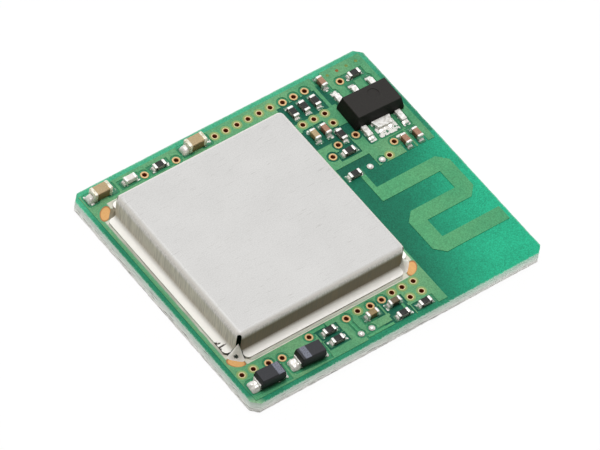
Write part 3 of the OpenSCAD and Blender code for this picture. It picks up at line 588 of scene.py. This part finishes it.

# Alumina slab under a black glaze: the sides are grey white, painted darker grey as shade, and the top is a
# smooth black film
GLAZE = 0.03
GLAZE_EDGE = 0.02
RESISTOR_BAND = 0.24
glazed, shader, place = new_material("glazed_alumina")
on_top = maths("GREATER_THAN", axes_of(place)["Z"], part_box("resistor_1")[1].z - (GLAZE + 0.004) * MM)
# Painted shade: the sides of the slab take a darker grey than alumina's own white.
tint = mixed(on_top, "8a8884", mixed(noise(place, 0.07, 2), "1e201f", "323433"))
feed(shader, {"Base Color": tint, "Roughness": 0.38, "Specular IOR Level": 0.25})
for i, name in enumerate(resistors):
    middle, size, axes = chips[name]
    slab = size - [0, 0, GLAZE]
    film = [size[0] - 2 * (RESISTOR_BAND - PLATING), size[1] - 2 * PLATING, 2 * GLAZE]
    middles = [middle - [0, 0, GLAZE / 2], middle + [0, 0, size[2] / 2 - GLAZE]]
    blocks = placed(rounded_block([slab, film], GLAZE_EDGE), middles, [axes, axes])
    finish_piece(piece_of_rings(f"resistor_body_{i + 1}", blocks), glazed, "glazed_alumina", name)

# Matt tin plating: nearly white, a soft sheen with a fine crystal grain
tin_plate = mottled("matt_tin_plating", 0.05, "e4e2de", "fdfcfb", relief=(0.4, 0.008),
                    Metallic=0.55, Roughness=0.36)

# Tin plating of the two large capacitors: older, with a cream tarnish
cream_tin = mottled("cream_tarnished_tin", 0.15, "c2bb9f", "f0ede2", span=(0.35, 0.6),
                    Metallic=0.35, Roughness=0.36)

LARGE = 0.7
RESISTOR_END_EDGE = 0.06
for node, name, edge in (("capacitor_terminals", "capacitor_ends", CHIP_EDGE + 2 * PLATING),
                         ("inductor_terminals", "inductor_ends", CHIP_EDGE + PLATING),
                         ("resistor_terminals", "resistor_ends", RESISTOR_END_EDGE)):
    ends = []
    for points in islands(node):
        nearest = np.linalg.norm(chip_middles - points.mean(axis=0), axis=1).argmin()
        ends.append(measure(points, chip_axes[nearest][0]))
    middles, sizes, axes = (np.array(column) for column in zip(*ends))
    large = sizes[:, 1] > LARGE
    for chosen, of_size, metal in ((~large, name, tin_plate), (large, "large_" + name, cream_tin)):
        if chosen.any():
            blocks = placed(rounded_block(sizes[chosen], edge), middles[chosen], axes[chosen])
            finish_piece(piece_of_rings(of_size, blocks), metal, "tinned_lead", node)

# Solder: tin alloy melted in an oven, drawn up each chip's end in a hollow slope and left as a dome on the
# empty pads.

PAD_SIDE = 0.05
FILLET_STEPS = 12
FILLET_ACROSS = 17
FACING = 0.7
BY_CHIP = 1.1
DOME_LEAN = 0.02
TAB_WIDE = 1
TAB_LOBES = 3
LUMP = 0.22
LUMPS_ABOVE = 0.1
CHIP_LUMPS, LEAD_LUMPS = 0.015, 0.05


def fillet_rings(reach, rise, width, lobes, bulge):
    """Rings of a solder fillet, outward along X from the end that it climbs: across the width its height
    follows a rounded hump, once for each lobe, and outward it falls to the pad, partly in a hollow slope
    and partly, as the bulge says, in a round one. It covers the pad to its sides."""
    out = np.linspace(0, 1, FILLET_STEPS)[:, None]
    across = np.linspace(-1, 1, FILLET_ACROSS)
    across = np.concatenate([across, np.linspace(1, -1, FILLET_ACROSS)[1:-1]])[None]
    upper = np.arange(across.size) < FILLET_ACROSS
    hump = np.abs(np.cos(np.pi / 2 * across * lobes)) ** 0.55 if lobes > 1 else (1 - across ** 4) ** 0.6
    fall = (1 - bulge) * (1 - out) ** 1.8 + bulge * (1 - out ** 4) ** 0.5
    half = (width / 2 + PAD_SIDE) * (1 - 0.2 * out ** 6)
    x = np.broadcast_to(reach * out, (FILLET_STEPS, across.size))
    z = np.where(upper, rise * fall * hump, 0)
    return np.stack([x, half * across, z], axis=-1)


# A solid of solder whose foot lies evenly round its crest is a dome. Any other is a joint: it takes up the
# whole length, width and height of its plain solid at the tab, the leads and the strips, and less at the
# chips. It climbs most where it faces left.
fillets, fillet_places, fillet_axes, lumpy, domes = [], [], [], [], []
for points in islands("solder_joints"):
    crest = points[points[:, 2] > points[:, 2].max() - NEAR]
    outward = (points[points[:, 2] < SEAT + NEAR].mean(axis=0) - crest.mean(axis=0))[:2]
    if np.linalg.norm(outward) < DOME_LEAN:
        domes.append(np.append(points[:, :2].mean(axis=0), np.ptp(points[:, 0]) / 2))
        continue
    middle, size, axes = measure(points, outward / np.linalg.norm(outward))
    to_left, to_front = -axes[0, :2] > FACING
    bulge, climb = (0.75, 1.0) if to_left else (0.5, 0.5) if to_front else (0.3, 0.8)
    of_chip = np.linalg.norm(chip_middles - middle, axis=1).min() < BY_CHIP
    if not of_chip:
        share = (1, 1, 1)
    elif size[1] < LARGE:
        share = (0.5, 0.7, 0.75)
    else:
        share = (0.95, 0.75, 0.8) if to_left else (0.4, 0.5, 0.4)
    reach, width, rise = size * share
    lobes = TAB_LOBES if size[1] > TAB_WIDE else 1
    fillets.append(fillet_rings(reach, rise * climb, width, lobes, bulge))
    fillet_places.append(middle - axes[0] * size[0] / 2 - [0, 0, size[2] / 2])
    fillet_axes.append(axes)
    lumpy.append(CHIP_LUMPS if of_chip else LEAD_LUMPS)
fillet_rows = placed(np.array(fillets), fillet_places, fillet_axes)
above = np.clip((fillet_rows[..., 2:] - SEAT) / LUMPS_ABOVE, 0, 1)
lumps = np.stack([value_noise(fillet_rows.reshape(-1, 3), LUMP, seed) for seed in (31, 32, 33)], axis=1)
fillet_rows = fillet_rows + np.reshape(lumpy, (-1, 1, 1, 1)) * above * lumps.reshape(fillet_rows.shape)
fillet_piece = piece_of_rings("solder_fillets", fillet_rows)

# Bright solder: silvery white with soft ripples, as it froze
solder = mottled("bright_solder", 0.12, "d6d3ce", "fbfaf8", relief=(0.5, 0.02),
                 Metallic=0.4, Roughness=0.34)
finish_piece(fillet_piece, solder, "solder", "solder_joints")

# A dome's section is a low arc: its height falls with the square of the distance from the middle
DOME_RISE = 0.12
DOME_SIDES = 28
slope = np.linspace(1, 0, 8)
arc_heights = SEAT + DOME_RISE * (1 - slope ** 2)
dome_rings = [turned(np.stack([radius * slope, arc_heights], axis=1), np.array([[x, y]]), DOME_SIDES)[0]
              for x, y, radius in domes]
finish_piece(piece_of_rings("solder_domes", np.array(dome_rings)), solder, "solder", "solder_joints")

# Pads: the solder has drawn together on them in white patches, most of all by the regulator's tab, and the
# coat's green shows through between
TAB_PAD = (10.05, 3.8, SEAT)
pad_metal, shader, place = new_material("partly_tinned_pad")
off_tab = vector("DISTANCE", place, tuple(at * MM for at in TAB_PAD))
patches = maths("ADD", noise(place, 0.3, 2), ramp(off_tab, 1.6 * MM, 1.1 * MM, 0, 0.17))
tint = mixed(ramp(patches, 0.57, 0.65), "2c6e50", "e0dfdb")
feed(shader, {"Base Color": tint, "Metallic": 0.2, "Roughness": 0.45})
paint(pad_metal, "component_pads")

# Regulator: a moulded block of black epoxy round its lead frame, with three leads behind it, one at each
# side of a wide tab in front, and a round moulding mark on top. Leads and tab are soldered to their pads.


def softened_copy(node, name, edge):
    """A welded copy of a CAD node with slightly rounded edges, as the mould or the press leaves them."""
    points, triangles = node_points(node)
    mesh = new_mesh(name, points, triangles.tolist())
    joined = bmesh.new()
    joined.from_mesh(mesh)
    bmesh.ops.dissolve_limit(joined, angle_limit=np.radians(1), verts=joined.verts, edges=joined.edges)
    joined.to_mesh(mesh)
    joined.free()
    piece = new_object(name, mesh)
    bevel = piece.modifiers.new("edges", "BEVEL")
    bevel.width = edge * MM
    bevel.segments = 3
    bevel.limit_method = "ANGLE"
    bevel.angle_limit = np.radians(30)
    bevel.harden_normals = True
    return piece


# Black moulded epoxy: matt and faintly pitted, its sides painted darker than the top as shade
epoxy, shader, place = new_material("matt_black_epoxy")
pits = noise(place, 0.07, 3)
moulded_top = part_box("regulator_body")[1].z
on_top = ramp(axes_of(place)["Z"], moulded_top - 0.12 * MM, moulded_top - 0.04 * MM)
# Painted shade: below the top edge the block takes a near black.
tint = mixed(on_top, "141311", mixed(pits, "1f1d1c", "302e2c"))
feed(shader, {"Base Color": tint, "Roughness": 0.6, "Specular IOR Level": 0.2,
              "Normal": bumped(pits, 0.5, 0.01)})
moulding = softened_copy("regulator_body", "regulator_moulding", 0.06)
finish_piece(moulding, epoxy, "black_moulding", "regulator_body")

# Solder-dipped lead frame: bright and uneven, with low lumps where the solder ran
dipped = mottled("solder_dipped_lead", 0.22, "cfccc7", "fbfaf9", span=(0.35, 0.6),
                 relief=(0.7, 0.04), Metallic=0.15, Roughness=0.4)
for node, name in (("regulator_tab", "regulator_tab_plate"), ("regulator_leads", "regulator_lead_bars")):
    finish_piece(softened_copy(node, name, 0.05), dipped, "tinned_lead", node)

# Tantalum capacitors: two moulded blocks of dark slate epoxy with a pale polarity band at one end. Folded
# tin strips leave their ends at half height, turn down and are soldered to the pads.

# Slate epoxy with a printed band: matt and nearly black, the sides painted darker as shade, the band a
# pitted grey blue
BAND_HALF = 0.25
BAND_BLUR = 0.03
for i, band_at in ((1, 0.62), (2, -0.5)):
    node = f"tantalum_{i}"
    points = node_points(node)[0]
    along = long_direction(points)
    along = along * np.sign(along[0])
    middle, size, _ = measure(points, along)
    slate, shader, place = new_material(f"slate_epoxy_{i}")
    centred = vector("SUBTRACT", place, tuple(middle * MM))
    axes = axes_of(mapped(centred, Rotation=(0, 0, -np.arctan2(along[1], along[0]))))
    off_band = maths("ABSOLUTE", maths("SUBTRACT", axes["X"], band_at * MM))
    in_band = ramp(off_band, (BAND_HALF + BAND_BLUR) * MM, (BAND_HALF - BAND_BLUR) * MM)
    on_top = ramp(axes["Z"], (size[2] / 2 - 0.05) * MM, (size[2] / 2 - 0.02) * MM)
    pits = noise(place, 0.07, 3)
    printed = maths("MULTIPLY", maths("MULTIPLY", in_band, on_top), ramp(pits, 0.3, 0.5))
    # Painted shade: the sides take a darker slate than the top.
    tint = mixed(on_top, "1d1d20", mixed(pits, "232428", "37383e"))
    tint = mixed(printed, tint, "767a89")
    feed(shader, {"Base Color": tint, "Roughness": 0.5, "Specular IOR Level": 0.25,
                  "Normal": bumped(pits, 0.4, 0.01)})
    finish_piece(softened_copy(node, f"tantalum_moulding_{i}", 0.05), slate, "slate_moulding", node)
strips = softened_copy("tantalum_terminals", "tantalum_strips", 0.03)
finish_piece(strips, dipped, "tinned_lead", "tantalum_terminals")

# Shield can: a lid pressed and folded from one tinned steel sheet, with a flange all round and a slit in
# each corner. It is soldered down along its flanges and in its corners, the front left one by hand.

SHEET = 0.2
FLANGE = 0.7
FLANGE_END = 0.42
FLANGE_ROUND = 0.36
CAN_BEND = 0.46
UPRIGHT = 0.3
points, triangles = node_points("shield_can")
can_mesh = new_mesh("shield_can_sheet", points, triangles.tolist())
corners = points[triangles]
face_normal = np.cross(corners[:, 1] - corners[:, 0], corners[:, 2] - corners[:, 0])
upright = np.abs(face_normal[:, 2]) < UPRIGHT * np.linalg.norm(face_normal, axis=1)
sheared = upright & (corners[..., 2].max(axis=1) < SEAT + SHEET + NEAR)
can_mesh.attributes.new("sheared", "FLOAT", "FACE").data.foreach_set("value", sheared.astype(float))
can = new_object("shield_can_sheet", can_mesh)
flat_faces = can.modifiers.new("flat_faces", "WEIGHTED_NORMAL")
flat_faces.keep_sharp = True

# Tinned steel sheet: a soft silver sheen with sparse fine scratches along the sheet and drawing lines up
# the walls. The bends below the top are painted paler as a highlight, and the walls are painted browner as
# a reflection of the flange and board, the front wall darkest, as shade and a reflection of the board. The
# flange is whiter, where solder wetted it. Its sheared edges are painted dark, partly as shade on those
# narrow faces and partly as flux near the iron, and the strokes that a hot iron left on the front left
# flange are dark. The scratches are drawn a little coarser than the real ones, so that they show.
BURNS = ((-12.2, -5.26, 0.26, 0.16), (-12.24, -5.8, 0.2, 0.18), (-11.98, -5.66, 0.5, 0.08),
         (-12.22, -5.5, 0.08, 0.4), (-11.94, -5.36, 0.16, 0.07), (-12.2, -6.1, 0.07, 0.4))
BURN_DEPTH = 0.3
HAND_SOLDERED = np.array([-11.7, -6.3, 0])
CAN_TOP = CAN_HIGH[2]
FLANGE_TOP = SEAT + SHEET
FRONT_WALL = CAN_LOW[1] + FLANGE
tinned, shader, place = new_material("tinned_steel_sheet")
axes = axes_of(place)
height = axes["Z"]
scratches = long_noise(place, (1.1, 0.06, 1.5), 2, turn=np.radians(6))
lines = long_noise(place, (0.1, 0.1, 1.5), 2)
cloud = noise(place, 3, 3)
grain = noise(place, 0.09, 2)
on_top = ramp(height, (CAN_TOP - 0.3) * MM, (CAN_TOP - 0.05) * MM)
off_top = ramp(height, (CAN_TOP - 0.01) * MM, (CAN_TOP - 0.1) * MM)
on_wall = ramp(height, (CAN_TOP - 0.32) * MM, (CAN_TOP - 0.6) * MM)
on_flange = ramp(height, (FLANGE_TOP + 0.24) * MM, (FLANGE_TOP + 0.03) * MM)
front_shade = ramp(axes["Y"], (FRONT_WALL + 0.32) * MM, (FRONT_WALL + 0.1) * MM)
toned = ramp(maths("MULTIPLY_ADD", cloud, 0.35, grain), 0.45, 0.9)
base = mixed(toned, "bebebe", "cdcdcd")
# Painted highlight: the bends between top and walls take a paler tone than the top.
base = mixed(off_top, base, "dedcd8")
# Painted reflection and shade: the walls are browner, and the front wall a dark brown.
base = mixed(on_wall, base, "cec9bc")
base = mixed(maths("MULTIPLY", front_shade, on_wall), base, "877b67")
base = mixed(on_flange, base, "f5f4f0")
few = ramp(scratches, 0.37, 0.27, 0, 0.26)
streaks = ramp(lines, 0.38, 0.6, 0.34, 0)
marks = add(place.id_data, "Mix", {0: on_top, 2: streaks, 3: few})
marks = add(place.id_data, "Mix", {0: on_flange, 2: marks, 3: 0.0})
base = mixed(marks, base, "6e6a64")
plan = vector("MULTIPLY", place, (1, 1, 0))
from_iron = vector("DISTANCE", plan, tuple(HAND_SOLDERED * MM))
cut = maths("MAXIMUM", ramp(cloud, 0.35, 0.6, 0.7, 0.15), ramp(from_iron, 1.1 * MM, 0.8 * MM))
on_cut = add(place.id_data, "Attribute", {}, "Fac", attribute_name="sheared")
# Painted shade on the sheared edge faces, with flux near the iron.
base = mixed(maths("MULTIPLY", on_cut, cut), base, "4f473e")
burnt = 0
for x, y, half_x, half_y in BURNS:
    spot = vector("SUBTRACT", place, (x * MM, y * MM, FLANGE_TOP * MM))
    spot = mapped(spot, Scale=tuple(1 / (half * MM) for half in (half_x, half_y, BURN_DEPTH)))
    off_spot = maths("MULTIPLY_ADD", grain, 1.4, vector("LENGTH", spot))
    burnt = maths("MAXIMUM", burnt, ramp(off_spot, 1.75, 1.4))
base = mixed(burnt, base, "3a3029")
metal = add(place.id_data, "Mix", {0: on_flange, 2: ramp(off_top, 0, 1, 0.2, 0.3), 3: 0.0})
rough = ramp(off_top, 0, 1, 0.45, 0.62)
feed(shader, {"Base Color": base, "Metallic": metal, "Roughness": rough,
              "Normal": bumped(marks, 0.1, 0.01)})
finish_piece(can, tinned, "tinned_steel", "shield_can")

# Solder of the can: a low wavy run along each flange, and a pool in each corner that climbs the slit.
RUN_STEPS = 160
RUN_FALL = np.array([[-0.03, 0], [-0.03, 1], [0.12, 0.95], [0.4, 0.6], [0.7, 0.36], [0.92, 0.2], [1, 0]])
RUNS = (((1, 0), 0.14), ((0, 1), 0.2), ((-1, 0), 0.14), ((0, -1), 0.2))
RUN_RISE = 0.085
RUN_TAPER = 0.03
POOLS = (((-1, -1), 0.62, 0.66, 1.08, 1.7), ((1, -1), 0.54, 0.62, 0.8, 1.5),
         ((1, 1), 0.54, 0.62, 0.8, 1.5), ((-1, 1), 0.34, 0.56, 0.35, 1.5))
POOL_SHEET = 0.05
POOL_SQUARE = 5
POOL_SIDES, POOL_ROWS = 64, 26
wall_half = (CAN_HIGH - CAN_LOW)[:2] / 2 - FLANGE


def solder_runs():
    """Rings of a run of solder along each side: from the flange's edge its section falls in a low hollow to
    the land, and its width and height wander along the side with noise."""
    along = np.linspace(-1, 1, RUN_STEPS)
    rings = []
    for side, (outward, wide) in enumerate(RUNS):
        outward = np.array(outward)
        across = np.array([-outward[1], outward[0]])
        length = (wall_half @ np.abs(across)) - FLANGE_END - 0.5 * FLANGE_ROUND
        spot = np.stack([along * length, np.full(RUN_STEPS, 10.0 * side), np.zeros(RUN_STEPS)], axis=1)
        width = wide + 0.05 * value_noise(spot, 0.7, 11) + 0.02 * value_noise(spot, 0.17, 12)
        rise = RUN_RISE + 0.035 * value_noise(spot, 0.9, 13)
        ends = np.clip((1 - np.abs(along)) / RUN_TAPER, 0.05, 1) ** 0.5
        out = wall_half @ np.abs(outward) + FLANGE + RUN_FALL[None, :, 0] * (width * ends)[:, None]
        plan = out[..., None] * outward + (along * length)[:, None, None] * across + CAN_MIDDLE[:2]
        level = SEAT + (RUN_FALL[None, :, 1] * (rise * ends)[:, None])[..., None]
        rings.append(np.concatenate([plan, level], axis=2))
    return np.array(rings)


def solder_pools():
    """Rings of the pool in each corner, about the can's rounded corner: in plan a flattened oval, outwards
    and across, and in height a thin sheet of solder with a hollow cone that runs up the slit."""
    angle = np.linspace(0, 2 * np.pi, POOL_SIDES, endpoint=False)
    part = np.linspace(1, 0, POOL_ROWS)[:, None] ** 1.2
    rings = []
    for corner, outwards, across, rise, hollow in POOLS:
        round_ = (np.abs(np.cos(angle) / outwards) ** POOL_SQUARE
                  + np.abs(np.sin(angle) / across) ** POOL_SQUARE) ** (-1 / POOL_SQUARE)
        diagonal = np.array(corner) / np.sqrt(2)
        beside = np.array([-diagonal[1], diagonal[0]])
        start = CAN_MIDDLE[:2] + corner * (wall_half - (1 - np.sqrt(0.5)) * CAN_BEND)
        local = part * round_
        out, aside = local * np.cos(angle), local * np.sin(angle)
        plan = start + out[..., None] * diagonal + aside[..., None] * beside
        spot = np.pad(plan.reshape(-1, 2), ((0, 0), (0, 1)))
        ripple = 1 + 0.12 * value_noise(spot, 0.3, 21).reshape(local.shape)
        level = rise * (1 - part) ** hollow * ripple + POOL_SHEET * (1 - part ** 8)
        rings.append(np.concatenate([plan, SEAT + level[..., None]], axis=2))
    return np.array(rings)


# Thin dull solder: grey beige along the flange, thinning to the green of the coat at the land's edge
runs = piece_of_rings("shield_solder_runs", solder_runs())
dull, shader, place = new_material("dull_thin_solder")
centred = vector("ABSOLUTE", vector("SUBTRACT", place, tuple(CAN_MIDDLE * MM)))
axes = axes_of(vector("SUBTRACT", centred, tuple(CAN_HALF * MM)))
outside = maths("MAXIMUM", axes["X"], axes["Y"])
tint = mixed(noise(place, 0.12, 3), "b3b0a3", "d0cec5")
tint = mixed(ramp(outside, 0.05 * MM, 0.27 * MM, 0, 0.8), tint, "8fb598")
feed(shader, {"Base Color": tint, "Metallic": 0.15, "Roughness": 0.5})
finish_piece(runs, dull, "solder", "shield_solder")

# Solder in the corners: pale and smooth, duller at the back left. In the front left pool there is a dark
# hole full of flux, and along the ends of the flanges there dark lines are painted, as shade in the gap
# between flange and solder and as flux.
FLUX_HOLE = np.array([-11.62, -6.94, 0])
FLUX_HALVES = (0.2, 0.09)
POOL_NEAR, POOL_FAR = 1.2 * MM, 1.5 * MM
pools = piece_of_rings("shield_solder_pools", solder_pools())
pool_solder, shader, place = new_material("hand_laid_solder")
ripple = noise(place, 0.2, 2)
plan = vector("MULTIPLY", place, (1, 1, 0))
off_hole = off_oval(plan, tuple(FLUX_HOLE * MM), FLUX_HALVES, np.pi / 4)
off_hole = maths("MULTIPLY_ADD", noise(place, 0.07, 2), 2.4, off_hole)
plan_axes = axes_of(plan)
end_x, end_y = CAN_LOW[:2] + FLANGE + FLANGE_END
by_left = ramp(plan_axes["Y"], (end_y - 0.1) * MM, (end_y - 0.06) * MM)
by_front = ramp(plan_axes["X"], (end_x - 0.1) * MM, (end_x - 0.06) * MM)
from_iron = vector("DISTANCE", plan, tuple(HAND_SOLDERED * MM))
# Painted shade and flux: dark lines along the flange ends near the iron.
end_shade_and_flux = maths("MULTIPLY", maths("MAXIMUM", by_left, by_front), ramp(from_iron, POOL_FAR, POOL_NEAR))
flux_and_end_shade = maths("MAXIMUM", ramp(off_hole, 2.2, 1.9), end_shade_and_flux)
back_y = -HAND_SOLDERED[1] * MM + 2 * CAN_MIDDLE[1] * MM
from_back = vector("DISTANCE", plan, (HAND_SOLDERED[0] * MM, back_y, 0))
tint = mixed(ripple, "d8d5ce", "f4f3ef")
tint = mixed(ramp(from_back, POOL_FAR, POOL_NEAR), tint, "8d8674")
tint = mixed(flux_and_end_shade, tint, "22302a")
feed(shader, {"Base Color": tint, "Roughness": 0.36, "Normal": bumped(ripple, 0.3, 0.02)})
finish_piece(pools, pool_solder, "solder", "shield_solder")

# Radio under the can: the radio chip on its solder balls, its memory, crystal, filter, balun and
# capacitors. The can hides them, so they keep their plain forms with the finish of each kind.

paint(epoxy, "radio_chip", "memory_chip")
paint(white_ceramic, "band_filter", "balun")
paint(ceramics[0], "inner_capacitors")
paint(solder, "radio_balls")
paint(tin_plate, "crystal")

# Table and light: a white sheet under the part, a soft lamp over it and a little behind, and a pale studio
# that is brightest behind the part on its right and dim in front, as metal needs to show its form.

# White paper: matt, and seen as an even white with only a trace of the part's shadow
FLOOR_HALF = 1.0
EVEN_WHITE = 0.94
floor_mesh = bpy.data.meshes.new("floor")
floor_corners = [(x * FLOOR_HALF, y * FLOOR_HALF, 0) for x, y in ((-1, -1), (1, -1), (1, 1), (-1, 1))]
floor_mesh.from_pydata(floor_corners, [], [(0, 1, 2, 3)])
floor = bpy.data.objects.new("floor", floor_mesh)
bpy.context.collection.objects.link(floor)
paper, shader = new_material("white_paper")[:2]
feed(shader, {"Base Color": linear("ffffff"), "Roughness": 0.9})
tree = paper.node_tree
ray = add(tree, "LightPath", {}).node.outputs
seen = maths("MAXIMUM", ray["Is Camera Ray"], ray["Is Glossy Ray"])
seen = maths("MAXIMUM", seen, ray["Is Transmission Ray"])
white = add(tree, "Emission", {"Color": (1, 1, 1, 1), "Strength": 1})
both = add(tree, "MixShader", {0: maths("MULTIPLY", seen, EVEN_WHITE), 1: shader.outputs[0], 2: white})
feed(tree.nodes["Material Output"], {"Surface": both})
floor.data.materials.append(paper)

SKY_LEVEL = 0.46
SKY_LEAN = (0.5, 0.58, 0.0)
SKY_LEAST = 0.12
SKY_WHITE = 0.9
studio = bpy.data.worlds.new("studio")
studio.use_nodes = True
bpy.context.scene.world = studio
tree = studio.node_tree
lean = vector("DOT_PRODUCT", add(tree, "TexCoord", {}, "Generated"), SKY_LEAN)
level = maths("MAXIMUM", maths("ADD", lean, SKY_LEVEL), SKY_LEAST)
strength = add(tree, "Mix", {0: add(tree, "LightPath", {}, "Is Camera Ray"), 2: level, 3: 1.0})
colour = mixed(ramp(level, SKY_LEAST, SKY_WHITE), "fff3dc", "ffffff")
feed(tree.nodes["Background"], {"Color": colour, "Strength": strength})

LAMP_SIDE = 0.22
LAMP_RADIANCE = 10.8
LAMP_AWAY = 0.5
LAMP_LEAN = np.radians(6)
lamp_data = bpy.data.lights.new("softbox", "AREA")
lamp_data.size = LAMP_SIDE
lamp_data.energy = LAMP_RADIANCE * np.pi * LAMP_SIDE ** 2
lamp = bpy.data.objects.new("softbox", lamp_data)
lamp.matrix_world = Matrix.Rotation(LAMP_LEAN, 4, (-1, 0, 0)) @ Matrix.Translation((0, 0, LAMP_AWAY))
bpy.context.collection.objects.link(lamp)

# Camera: a long lens from the front left, a little rolled, as the photograph was taken
AZIMUTH, ELEVATION, ROLL = np.radians([-44.1645, 51.4096, 9.2897])
CAMERA_AT = np.array([-199.205, -204.313, 358.243])
forward = -np.array([np.sin(AZIMUTH) * np.cos(ELEVATION), -np.cos(AZIMUTH) * np.cos(ELEVATION),
                     np.sin(ELEVATION)])
level_right = np.array([np.cos(AZIMUTH), np.sin(AZIMUTH), 0])
right = np.cos(ROLL) * level_right + np.sin(ROLL) * np.cross(level_right, forward)
up = np.cross(right, forward)
camera_data = bpy.data.cameras.new("camera")
camera_data.lens = 383.59
camera_data.sensor_width = 36
camera_data.clip_start = 0.05
camera = bpy.data.objects.new("camera", camera_data)
camera.matrix_world = Matrix([*np.column_stack([right, up, -forward, CAMERA_AT * MM]), [0, 0, 0, 1]])
bpy.context.collection.objects.link(camera)
bpy.context.scene.camera = camera
bpy.context.scene.view_settings.view_transform = "Standard"
